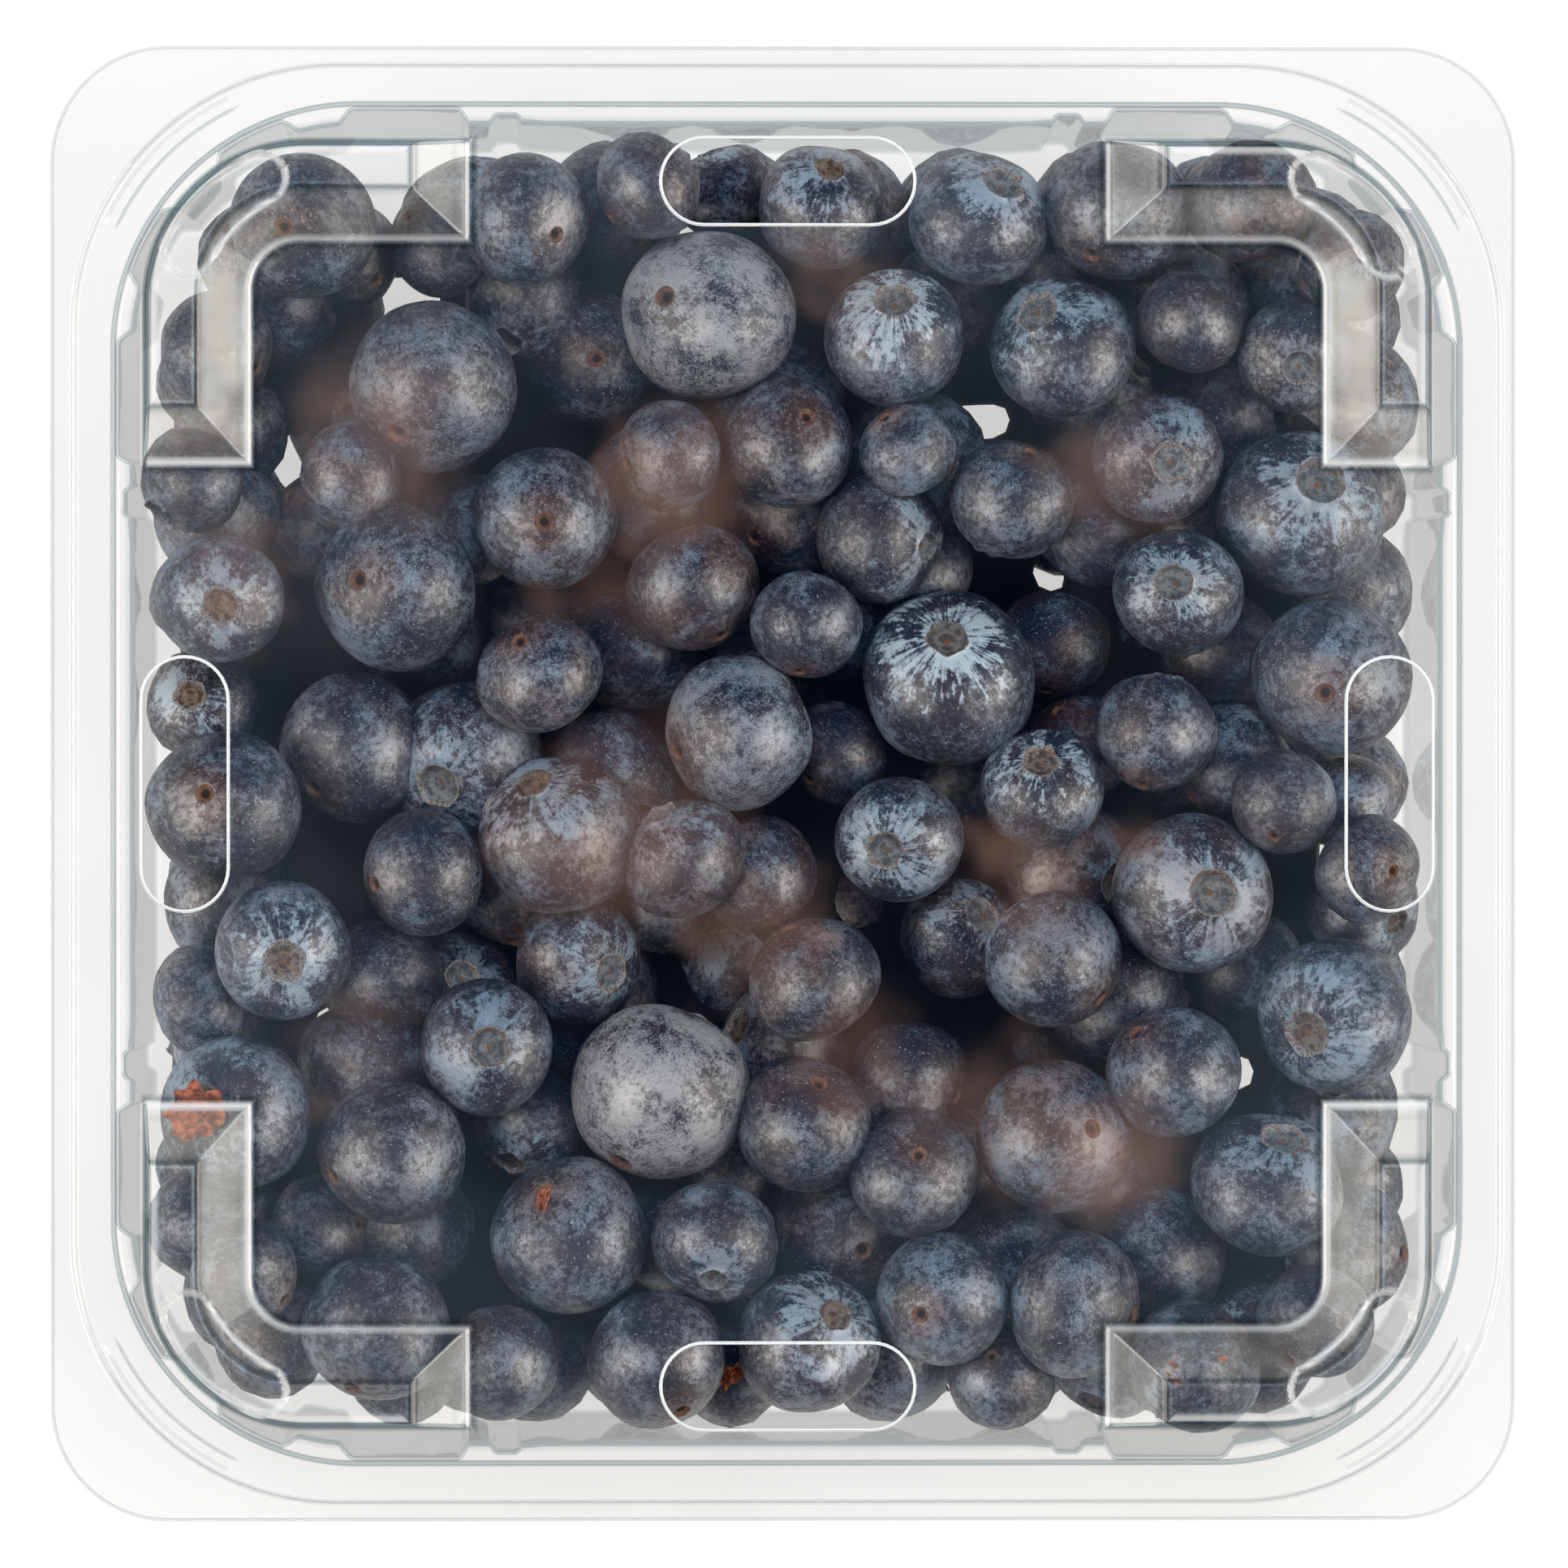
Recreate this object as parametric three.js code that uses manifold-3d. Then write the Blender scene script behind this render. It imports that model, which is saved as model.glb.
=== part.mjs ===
// A clear punnet of blueberries: a fluted tray, a vented lid that lies on the tray's
// flange, and the fruit inside. Millimetres, +Z up, the tray's foot on z = 0.

import * as THREE from 'three';
import { mergeVertices } from 'three/addons/utils/BufferGeometryUtils.js';
import Module from 'manifold-3d';

// Driving dimensions, in millimetres.
const FLANGE_LENGTH = 150; // along X, over the flange
const FLANGE_WIDTH = 151; // along Y, over the flange
const FLANGE_CORNER = 12; // radius of the flange's outer corners
const FLANGE_TOP = 36; // height of the tray's flange above the foot
const SHEET = 0.6; // thickness of the formed plastic
const GAP = 0.3; // clearance between the lid, the tray and the fruit
const TRIM_SHIFT = 0.4; // the flange is cut this far off centre, along X

const MOUTH_HALF_X = 68.9; // from the tray's middle to the edge of its mouth
const MOUTH_HALF_Y = 69.5;
const MOUTH_CORNER = 25;
const MOUTH_ROUND = 0.5; // softened edge where the mouth meets the flange
const LEDGE_DEPTH = 2.3; // the mouth's rim stands this high over the ledge
const LEDGE_FALL = 0.25; // the ledge slopes by this much
const FLUTE_DEPTH = 1.5; // how far the wall steps in from the rim
const DRAFT = 1.7; // how much narrower each side is at the foot
const FOOT_HEIGHT = 2.6; // height of the rounding round the foot

const RIDGE_HEIGHT = 5; // corner ridges of the lid
const RIDGE_OUTER = 65.8; // from the lid's middle to the outer wall of a ridge
const RIDGE_OUTER_CORNER = 16.6;
const RIDGE_INNER_X = 54.9; // to the foot of a ridge's inner slope
const RIDGE_INNER_Y = 55.5;
const RIDGE_INNER_CORNER = 5;
const RIDGE_SLOPE = 5.4; // width of the slope, from foot to top
const RIDGE_END = 32.6; // where a ridge's arms end, from the lid's middle line
const RIDGE_END_SLOPE = 6;
const RIDGE_DRAFT = 0.4; // lean of the outer wall

const PAD_RING = 19.3; // the sunk pad on a ridge's corner follows this radius
const PAD_CENTRE_X = 44.4;
const PAD_CENTRE_Y = 44.9;
const PAD_HALF_WIDTH = 2.7;
const PAD_FROM = 29; // degrees
const PAD_TO = 61;
const PAD_DEPTH = 1.3;

const VENT_LENGTH = 25.7;
const VENT_WIDTH = 8.6;
const VENT_OFFSET = 61.7; // from the lid's middle to a vent's middle

const BEAD_HALF_X = 73; // raised bead round the lid's rim
const BEAD_HALF_Y = 73.5;
const BEAD_CORNER = 27;
const BEAD_WIDTH = 0.8;
const BEAD_HEIGHT = 0.5;
const LUG_WIDTH = 2.2; // grip pad inside the bead at each corner
const LUG_SPREAD = 20; // degrees each way from the corner's diagonal
const LUG_HEIGHT = 0.35;

const PANEL_UNDER = FLANGE_TOP + GAP;
const PANEL_TOP = PANEL_UNDER + SHEET;
const CEILING = PANEL_UNDER - GAP;
const FLOOR = SHEET + GAP;

// The fruit that lies against the lid: x, y and diameter, row by row from +Y to -Y.
const TOP_FRUIT = [
  [-49.5, 57.5, 15.8], [-27.3, 58, 14.2], [2.8, 58.5, 13.8], [19.9, 57.8, 15],
  [35.8, 57.6, 15.4], [-7.4, 48.9, 19], [-36.2, 41.2, 18.3], [12, 45.2, 15],
  [30.1, 44.4, 15.8], [54, 46, 12.5], [-58.6, 44.7, 12.5], [-24.8, 27.9, 15.4],
  [-12.1, 33.3, 11.7], [0.7, 35.3, 14.1], [11.1, 33.4, 10.2], [23.3, 29.3, 12.9],
  [38.3, 33.7, 14], [53.5, 29.5, 18], [-40.8, 19.7, 17.7], [-58.4, 19, 13.7],
  [2.4, 17.1, 11.6], [40.2, 20.1, 14], [16.2, 11.7, 18.7], [56.3, 10.7, 17],
  [-26.2, 10.4, 13.3], [-4.9, 5.4, 15.8], [37.7, 5, 12.9], [26.9, -0.6, 13.3],
  [51.2, -3.2, 11], [-56.9, -1.7, 16.5], [-26.5, -5.4, 11.5], [12, -6.4, 13.7],
  [59, -8.2, 11.5], [41.9, -11.2, 17.4], [27.6, -18.9, 14.3], [4.2, -20.6, 13.7],
  [-51.7, -17.6, 14.8], [-31.5, -27.2, 14.5], [-12.1, -31.9, 19.1], [-56.6, -34.2, 16.6],
  [-39.7, -36.8, 15.4], [3.9, -36.3, 14.5], [24.6, -36.1, 16.6], [39.6, -29.7, 14.1],
  [56.6, -24.2, 16.8], [-22.1, -48.1, 17], [-43.4, -56.3, 15.4], [-55.8, -50.5, 11.6],
  [-28.7, -59, 12.4], [-13.8, -58.5, 14.5], [2.6, -57.4, 15.4], [15.9, -51, 14.3],
  [49.6, -42.5, 16.6], [31.9, -54.6, 15], [53.3, -56, 12.2],
];

const FILL_LAYERS = [6.8, 16.2, 25.6]; // starting heights of the fruit below, lowest first
const FILL_PITCH = 14.4; // starting spacing in a layer
const FILL_SMALLEST = 11; // diameters of the fruit below
const FILL_LARGEST = 16.4;
const FILL_SEED = 4711;
const SETTLE_STEPS = 160;
const FILL_ROOM = 0.65; // of touching: how near the top fruit the fruit below may start
const SETTLE_SINK = 0.04; // fall of the lowest fruit in each step
const SETTLE_LIFT = 0.08; // rise of the fruit between that and the top fruit
const SETTLE_RISE = 0.12; // rise of the top fruit in each step
const SETTLE_RETURN = 0.5; // how much of its drift the top fruit takes back
const CORE_SIDE = 6; // how far the fruit's core lies inside the walls
const CORE_TOP = 6.5; // and below the lid
const CORE_FOOT = 4; // and above the foot
const SHOW_WALL = 3; // fruit this close to the wall shows through it
const SHOW_LID = 5.5; // and to the lid
const SHOW_FOOT = 3.5; // and to the foot

const wasm = await Module();
wasm.setup();

const radians = THREE.MathUtils.degToRad;

// A closed solid from a geometry whose faces point out.
function solid(geometry) {
  const bare = geometry.clone();
  bare.deleteAttribute('normal');
  bare.deleteAttribute('uv');
  const merged = mergeVertices(bare, 1e-5);
  return new wasm.Manifold(new wasm.Mesh({
    numProp: 3,
    vertProperties: new Float32Array(merged.attributes.position.array),
    triVerts: new Uint32Array(merged.index.array),
  }));
}

// A named mesh from a solid.
function pieceFrom(manifold, name, material) {
  const { vertProperties, triVerts } = manifold.getMesh();
  const geometry = new THREE.BufferGeometry();
  geometry.setAttribute('position', new THREE.BufferAttribute(vertProperties, 3));
  geometry.setIndex(new THREE.BufferAttribute(triVerts, 1));
  geometry.computeVertexNormals();
  const mesh = new THREE.Mesh(geometry, material);
  mesh.name = name;
  return mesh;
}

// Skin through rings of equal count, closed flat at both ends. Each ring is an outline
// of Vector2 points, counter-clockwise, with its height.
function loft(rings) {
  const count = rings[0].outline.length;
  const positions = rings.flatMap(
    ({ outline, z }) => outline.flatMap((point) => [point.x, point.y, z]),
  );
  const indices = [];
  for (let ring = 0; ring < rings.length - 1; ring += 1) {
    for (let k = 0; k < count; k += 1) {
      const next = (k + 1) % count;
      const low = ring * count;
      const high = low + count;
      indices.push(low + k, low + next, high + next);
      indices.push(low + k, high + next, high + k);
    }
  }
  const last = (rings.length - 1) * count;
  for (const [a, b, c] of THREE.ShapeUtils.triangulateShape(rings[0].outline, [])) {
    indices.push(c, b, a);
  }
  for (const [a, b, c] of THREE.ShapeUtils.triangulateShape(rings.at(-1).outline, [])) {
    indices.push(last + a, last + b, last + c);
  }
  const geometry = new THREE.BufferGeometry();
  geometry.setAttribute('position', new THREE.Float32BufferAttribute(positions, 3));
  geometry.setIndex(indices);
  return geometry;
}

// Where the wall steps in (1) or stays out (0): distances along a side from its middle,
// then angles round a corner up to its diagonal.
const SIDE_STEPS = [
  [0, 1], [27, 1], [27.9, 0.4], [29.7, 0.4], [30.6, 1], [32.6, 1], [33.8, 0],
];
const CORNER_STEPS = [
  [1.5, 0], [5.3, 1], [15.2, 1], [19, 0], [34.7, 0], [38.6, 1],
];

// The tray's outline, offset inwards from the mouth. flute scales the steps.
function trayOutline(offset, flute) {
  const halfX = MOUTH_HALF_X - offset;
  const halfY = MOUTH_HALF_Y - offset;
  const corner = MOUTH_CORNER - offset;
  const centreX = halfX - corner;
  const centreY = halfY - corner;
  const quarter = SIDE_STEPS.map(
    ([along, step]) => new THREE.Vector2(halfX - step * flute * FLUTE_DEPTH, along),
  );
  const mirrored = CORNER_STEPS.map(([angle, step]) => [90 - angle, step]).reverse();
  for (const [angle, step] of [...CORNER_STEPS, ...mirrored]) {
    const reach = corner - step * flute * FLUTE_DEPTH;
    quarter.push(new THREE.Vector2(
      centreX + reach * Math.cos(radians(angle)),
      centreY + reach * Math.sin(radians(angle)),
    ));
  }
  for (const [along, step] of SIDE_STEPS.slice(1).reverse()) {
    quarter.push(new THREE.Vector2(along, halfY - step * flute * FLUTE_DEPTH));
  }
  return fourQuarters(quarter, halfX, halfY, flute);
}

// Mirrors a quarter outline from the middle of the +X side to near the middle of +Y.
function fourQuarters(quarter, halfX, halfY, flute) {
  const inward = flute * FLUTE_DEPTH;
  const middleY = new THREE.Vector2(0, halfY - inward);
  const second = [...quarter].reverse().map((p) => new THREE.Vector2(-p.x, p.y));
  const upper = [...quarter, middleY, ...second];
  const lower = upper.slice(1, -1).reverse().map((p) => new THREE.Vector2(p.x, -p.y));
  return [...upper, ...lower];
}

// The same number of points on the plain outline of the flange.
function flangeOutline() {
  const halfX = FLANGE_LENGTH / 2;
  const halfY = FLANGE_WIDTH / 2;
  return trayOutline(0, 0).map((point) => {
    const centreX = (halfX - FLANGE_CORNER) * Math.sign(point.x);
    const centreY = (halfY - FLANGE_CORNER) * Math.sign(point.y);
    const slideX = point.x * (halfX / MOUTH_HALF_X);
    const slideY = point.y * (halfY / MOUTH_HALF_Y);
    const spread = new THREE.Vector2(slideX - centreX, slideY - centreY);
    const onCorner = Math.abs(slideX) > Math.abs(centreX) && Math.abs(slideY) > Math.abs(centreY);
    if (onCorner) {
      spread.setLength(FLANGE_CORNER);
      return new THREE.Vector2(centreX + spread.x, centreY + spread.y);
    }
    const alongX = Math.abs(point.x) / MOUTH_HALF_X > Math.abs(point.y) / MOUTH_HALF_Y;
    return alongX
      ? new THREE.Vector2(halfX * Math.sign(point.x), slideY)
      : new THREE.Vector2(slideX, halfY * Math.sign(point.y));
  });
}

// A rounded rectangle with evenly cut corners.
function roundedOutline(halfX, halfY, corner, steps) {
  const points = [];
  for (let turn = 0; turn < 4; turn += 1) {
    const signX = turn === 0 || turn === 3 ? 1 : -1;
    const signY = turn < 2 ? 1 : -1;
    for (let k = 0; k <= steps; k += 1) {
      const angle = radians(90 * (turn + k / steps));
      points.push(new THREE.Vector2(
        signX * (halfX - corner) + corner * Math.cos(angle),
        signY * (halfY - corner) + corner * Math.sin(angle),
      ));
    }
  }
  return points;
}

// The tray: foot, fluted wall, ledge, rim and flange as one thin skin.
function tray() {
  const ledge = FLANGE_TOP - LEDGE_DEPTH;
  const shift = (outline) => outline.map((p) => new THREE.Vector2(p.x + TRIM_SHIFT, p.y));
  const ring = (offset, flute, z) => ({ outline: shift(trayOutline(offset, flute)), z });
  const flange = flangeOutline();
  const skin = loft([
    ring(DRAFT + 1.85, 1, 0),
    ring(DRAFT + 0.1, 1, 0.75),
    ring(DRAFT - SHEET, 1, FOOT_HEIGHT),
    ring(0.35 - SHEET, 1, ledge - LEDGE_FALL - SHEET),
    ring(0.15 - SHEET, 0, ledge - SHEET),
    ring(-SHEET, 0, FLANGE_TOP - SHEET),
    { outline: flange, z: FLANGE_TOP - SHEET },
    { outline: flange, z: FLANGE_TOP },
    ring(-MOUTH_ROUND, 0, FLANGE_TOP),
    ring(0, 0, FLANGE_TOP - MOUTH_ROUND),
    ring(0.15, 0, ledge),
    ring(0.35, 1, ledge - LEDGE_FALL),
    ring(DRAFT, 1, FOOT_HEIGHT),
    ring(DRAFT + 0.6, 1, SHEET + 0.8),
    ring(DRAFT + 2.2, 1, SHEET),
  ]);
  return solid(skin);
}

// Outline of one corner ridge in the +X +Y corner. lean moves the outer wall in and
// rise moves the inner slope and the ends out.
function ridgeOutline(lean, riseX, riseEnd) {
  const outer = RIDGE_OUTER - lean;
  const outerCorner = RIDGE_OUTER_CORNER - lean;
  const outerCentre = outer - outerCorner;
  const innerX = RIDGE_INNER_X + riseX;
  const innerY = RIDGE_INNER_Y + riseX;
  const innerCorner = RIDGE_INNER_CORNER + riseX;
  const end = RIDGE_END + riseEnd;
  const points = [new THREE.Vector2(outer, end)];
  for (let k = 0; k <= 8; k += 1) {
    const angle = radians((90 * k) / 8);
    points.push(new THREE.Vector2(
      outerCentre + outerCorner * Math.cos(angle),
      outerCentre + outerCorner * Math.sin(angle),
    ));
  }
  points.push(new THREE.Vector2(end, outer), new THREE.Vector2(end, innerY));
  for (let k = 5; k >= 0; k -= 1) {
    const angle = radians((90 * k) / 5);
    points.push(new THREE.Vector2(
      innerX - innerCorner + innerCorner * Math.cos(angle),
      innerY - innerCorner + innerCorner * Math.sin(angle),
    ));
  }
  points.push(new THREE.Vector2(innerX, end));
  return points;
}

// A ridge's body, or with a wall thickness the hollow under it.
function ridgeBody(wall) {
  const slopeWall = wall * 1.35; // the wall's thickness, measured level through a slope
  const foot = wall > 0 ? PANEL_UNDER - 1 : PANEL_UNDER + SHEET / 2;
  const footOutline = ridgeOutline(wall, slopeWall, slopeWall);
  const topOutline = ridgeOutline(
    RIDGE_DRAFT + wall, RIDGE_SLOPE + slopeWall * 0.6, RIDGE_END_SLOPE + slopeWall * 0.6,
  );
  return solid(loft([
    { outline: footOutline, z: foot },
    { outline: footOutline, z: PANEL_TOP },
    { outline: topOutline, z: PANEL_TOP + RIDGE_HEIGHT - wall },
  ]));
}

// The sunk pad across a ridge's corner: a bar that follows an arc, with round ends.
function padBar(spare, from, to) {
  const inner = PAD_RING - PAD_HALF_WIDTH - spare;
  const outer = PAD_RING + PAD_HALF_WIDTH + spare;
  const endRadius = PAD_HALF_WIDTH + spare;
  const points = [];
  const arc = (x, y, radius, start, stop, steps) => {
    for (let k = 0; k <= steps; k += 1) {
      const angle = radians(start + ((stop - start) * k) / steps);
      points.push(new THREE.Vector2(x + radius * Math.cos(angle), y + radius * Math.sin(angle)));
    }
  };
  const at = (angle) => [
    PAD_CENTRE_X + PAD_RING * Math.cos(radians(angle)),
    PAD_CENTRE_Y + PAD_RING * Math.sin(radians(angle)),
  ];
  arc(PAD_CENTRE_X, PAD_CENTRE_Y, outer, PAD_FROM, PAD_TO, 6);
  arc(...at(PAD_TO), endRadius, PAD_TO + 30, PAD_TO + 150, 4);
  arc(PAD_CENTRE_X, PAD_CENTRE_Y, inner, PAD_TO, PAD_FROM, 6);
  arc(...at(PAD_FROM), endRadius, PAD_FROM + 210, PAD_FROM + 330, 4);
  return solid(loft([{ outline: points, z: from }, { outline: points, z: to }]));
}

// A raised bead that follows the rim, as a ring with a trapezoid section.
function bead() {
  const ring = (offset, z) => ({
    outline: roundedOutline(BEAD_HALF_X + offset, BEAD_HALF_Y + offset, BEAD_CORNER + offset, 12),
    z,
  });
  const half = BEAD_WIDTH / 2;
  const low = PANEL_TOP - SHEET / 2;
  const high = PANEL_TOP + BEAD_HEIGHT;
  const outside = solid(loft([ring(half, low), ring(half, PANEL_TOP), ring(half / 3, high)]));
  const inside = solid(loft([
    ring(-half, low - 1), ring(-half, PANEL_TOP), ring(-half / 3, high), ring(-half / 3, high + 1),
  ]));
  return outside.subtract(inside);
}

// A thin grip pad beside the bead at the +X +Y corner.
function lug() {
  const centreX = BEAD_HALF_X - BEAD_CORNER;
  const centreY = BEAD_HALF_Y - BEAD_CORNER;
  const outer = BEAD_CORNER;
  const inner = BEAD_CORNER - LUG_WIDTH;
  const from = radians(45 - LUG_SPREAD);
  const to = radians(45 + LUG_SPREAD);
  const shape = new THREE.Shape();
  shape.absarc(centreX, centreY, outer, from, to, false);
  shape.absarc(centreX, centreY, inner, to - 0.06, from + 0.06, true);
  shape.closePath();
  const plate = new THREE.ExtrudeGeometry(shape, {
    depth: LUG_HEIGHT + SHEET / 2, bevelEnabled: false, curveSegments: 6,
  });
  plate.translate(0, 0, PANEL_TOP - SHEET / 2);
  return solid(plate);
}

// A vent's cutter, long along X.
function ventCutter() {
  const straight = (VENT_LENGTH - VENT_WIDTH) / 2;
  const shape = new THREE.Shape();
  shape.absarc(straight, 0, VENT_WIDTH / 2, -Math.PI / 2, Math.PI / 2, false);
  shape.absarc(-straight, 0, VENT_WIDTH / 2, Math.PI / 2, (3 * Math.PI) / 2, false);
  shape.closePath();
  const cutter = new THREE.ExtrudeGeometry(shape, {
    depth: 3, bevelEnabled: false, curveSegments: 8,
  });
  cutter.translate(0, 0, PANEL_UNDER - 1);
  return solid(cutter);
}

// Copies of a solid from the +X +Y corner, mirrored into all four.
function inFourCorners(corner) {
  return [corner, corner.mirror([1, 0, 0]), corner.mirror([0, 1, 0]), corner.rotate([0, 0, 180])];
}

// The lid: one flat panel and rim with hollow corner ridges, pads, vents and bead.
function lid() {
  const rim = loft([PANEL_UNDER, PANEL_TOP].map((z) => ({
    outline: roundedOutline(FLANGE_LENGTH / 2, FLANGE_WIDTH / 2, FLANGE_CORNER, 8), z,
  })));
  const top = PANEL_TOP + RIDGE_HEIGHT;
  const ridge = ridgeBody(0).subtract(padBar(0, top - PAD_DEPTH, top + 1));
  const hollow = ridgeBody(SHEET).subtract(padBar(SHEET, top - PAD_DEPTH - SHEET, top + 1));
  let body = solid(rim).translate([-TRIM_SHIFT, 0, 0]).add(bead());
  for (const piece of [...inFourCorners(ridge), ...inFourCorners(lug())]) {
    body = body.add(piece);
  }
  for (const space of inFourCorners(hollow)) {
    body = body.subtract(space);
  }
  const vent = ventCutter();
  for (const turn of [0, 90, 180, 270]) {
    body = body.subtract(vent.translate([0, VENT_OFFSET, 0]).rotate([0, 0, turn]));
  }
  return body.translate([TRIM_SHIFT, 0, 0]);
}

// Seeded draws between 0 and 1.
function drawsFrom(seed) {
  let state = seed;
  return () => {
    state = (state * 16807) % 2147483647;
    return state / 2147483647;
  };
}

// Keeps a fruit inside the tapered tray, between floor and lid.
function holdInTray(fruit) {
  const rise = fruit.z / FLANGE_TOP;
  const inset = FLUTE_DEPTH + GAP + DRAFT * (1 - rise) + fruit.r;
  const limitX = MOUTH_HALF_X - inset;
  const limitY = MOUTH_HALF_Y - inset;
  const bend = MOUTH_CORNER - inset;
  fruit.x = Math.min(limitX, Math.max(-limitX, fruit.x));
  fruit.y = Math.min(limitY, Math.max(-limitY, fruit.y));
  fruit.z = Math.min(CEILING - fruit.r, Math.max(FLOOR + fruit.r, fruit.z));
  const overX = Math.abs(fruit.x) - (limitX - bend);
  const overY = Math.abs(fruit.y) - (limitY - bend);
  if (overX > 0 && overY > 0) {
    const reach = Math.sqrt(overX * overX + overY * overY);
    if (reach > bend) {
      fruit.x = (fruit.x < 0 ? -1 : 1) * (limitX - bend + (overX * bend) / reach);
      fruit.y = (fruit.y < 0 ? -1 : 1) * (limitY - bend + (overY * bend) / reach);
    }
  }
}

// Moves two fruits apart where they overlap.
function pushApart(one, two) {
  const dx = two.x - one.x;
  const dy = two.y - one.y;
  const dz = two.z - one.z;
  const touch = one.r + two.r;
  const square = dx * dx + dy * dy + dz * dz;
  if (square >= touch * touch) {
    return;
  }
  const distance = Math.sqrt(square) + 1e-6;
  const push = (0.5 * (touch - distance)) / distance;
  one.x -= dx * push;
  one.y -= dy * push;
  one.z -= dz * push;
  two.x += dx * push;
  two.y += dy * push;
  two.z += dz * push;
}

// All the fruit: the placed top layer, and the fruit below it settled round it.
function packFruit() {
  const draw = drawsFrom(FILL_SEED);
  const fruits = TOP_FRUIT.map(([x, y, diameter]) => {
    const fruit = { x, y, z: CEILING - diameter / 2, r: diameter / 2 };
    holdInTray(fruit);
    return { ...fruit, home: [fruit.x, fruit.y] };
  });
  const placed = fruits.length;
  for (const height of FILL_LAYERS) {
    for (let row = -4; row <= 4; row += 1) {
      for (let column = -4; column <= 4; column += 1) {
        const fruit = {
          x: FILL_PITCH * (column + 0.5 * (draw() - 0.5)),
          y: FILL_PITCH * (row + 0.5 * (draw() - 0.5)),
          z: height,
          pull: height === FILL_LAYERS[0] ? -SETTLE_SINK : SETTLE_LIFT,
          r: (FILL_SMALLEST + (FILL_LARGEST - FILL_SMALLEST) * draw()) / 2,
        };
        holdInTray(fruit);
        const crowded = fruits.slice(0, placed).some((other) => {
          const dx = other.x - fruit.x;
          const dy = other.y - fruit.y;
          const dz = other.z - fruit.z;
          const room = FILL_ROOM * (other.r + fruit.r);
          return dx * dx + dy * dy + dz * dz < room * room;
        });
        if (!crowded) {
          fruits.push(fruit);
        }
      }
    }
  }
  for (let step = 0; step < SETTLE_STEPS; step += 1) {
    for (const fruit of fruits) {
      if (fruit.home) {
        fruit.x += (fruit.home[0] - fruit.x) * SETTLE_RETURN;
        fruit.y += (fruit.home[1] - fruit.y) * SETTLE_RETURN;
        fruit.z += SETTLE_RISE;
      } else {
        fruit.z += fruit.pull;
      }
    }
    for (let i = 0; i < fruits.length; i += 1) {
      for (let j = i + 1; j < fruits.length; j += 1) {
        pushApart(fruits[i], fruits[j]);
      }
    }
    fruits.forEach(holdInTray);
  }
  return fruits;
}

// Which faces of the tray and lid a fruit lies against.
function facesOf(fruit) {
  const rise = fruit.z / FLANGE_TOP;
  const inset = FLUTE_DEPTH + DRAFT * (1 - rise) + fruit.r;
  const bend = MOUTH_CORNER - inset;
  const toWallX = MOUTH_HALF_X - inset - Math.abs(fruit.x);
  const toWallY = MOUTH_HALF_Y - inset - Math.abs(fruit.y);
  const overX = Math.max(0, bend - toWallX);
  const overY = Math.max(0, bend - toWallY);
  const toWall = overX > 0 && overY > 0
    ? bend - Math.sqrt(overX * overX + overY * overY) : Math.min(toWallX, toWallY);
  return {
    wall: toWall < SHOW_WALL,
    lid: CEILING - fruit.z - fruit.r < SHOW_LID,
    foot: fruit.z - fruit.r - FLOOR < SHOW_FOOT,
  };
}

// Half a fruit on a short stem that reaches into the core, with flat sides that cover as
// much as the round fruit does. turn is 1 for up, -1 for down.
function dome(radius, sides, rings, turn) {
  const stem = 0.6 * radius;
  const wide = radius * Math.sqrt((2 * Math.PI) / (sides * Math.sin((2 * Math.PI) / sides)));
  const profile = [new THREE.Vector2(0, -stem), new THREE.Vector2(wide, -stem)];
  for (let k = 0; k < rings; k += 1) {
    const angle = radians((90 * k) / rings);
    profile.push(new THREE.Vector2(wide * Math.cos(angle), radius * Math.sin(angle)));
  }
  profile.push(new THREE.Vector2(0, radius));
  return new THREE.LatheGeometry(profile, sides).rotateX((turn * Math.PI) / 2);
}

// A fruit as far as it shows: whole beside a wall, half elsewhere.
function showingFruit(fruit) {
  const faces = facesOf(fruit);
  if (faces.wall) {
    return new THREE.OctahedronGeometry(fruit.r, 1);
  }
  return faces.lid ? dome(fruit.r, 8, 3, 1) : dome(fruit.r, 5, 2, -1);
}

// The heap of fruit: a core, with each fruit that shows standing out of it.
function berries() {
  const side = FLUTE_DEPTH + DRAFT + CORE_SIDE;
  const outline = roundedOutline(
    MOUTH_HALF_X - side, MOUTH_HALF_Y - side, MOUTH_CORNER - side, 3,
  );
  let heap = solid(loft([
    { outline, z: FLOOR + CORE_FOOT }, { outline, z: CEILING - CORE_TOP },
  ]));
  for (const fruit of packFruit()) {
    const { wall, lid: top, foot } = facesOf(fruit);
    if (wall || top || foot) {
      const shown = solid(showingFruit(fruit));
      heap = heap.add(shown.translate([fruit.x, fruit.y, fruit.z]));
    }
  }
  return heap.translate([TRIM_SHIFT, 0, 0]);
}

const clearPlastic = new THREE.MeshStandardMaterial({
  color: 0xe6ebeb, roughness: 0.08, metalness: 0, transparent: true, opacity: 0.35,
});
const lidPlastic = clearPlastic.clone();
const fruitSkin = new THREE.MeshStandardMaterial({
  color: 0x3c465c, roughness: 0.55, metalness: 0,
});

const punnet = new THREE.Group();
punnet.add(pieceFrom(tray(), 'tray', clearPlastic));
punnet.add(pieceFrom(lid(), 'lid', lidPlastic));
punnet.add(pieceFrom(berries(), 'berries', fruitSkin));

export default punnet;
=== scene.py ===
import math
import random

import bmesh
import bpy
import numpy as np
from mathutils import Matrix, Vector, noise


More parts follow.
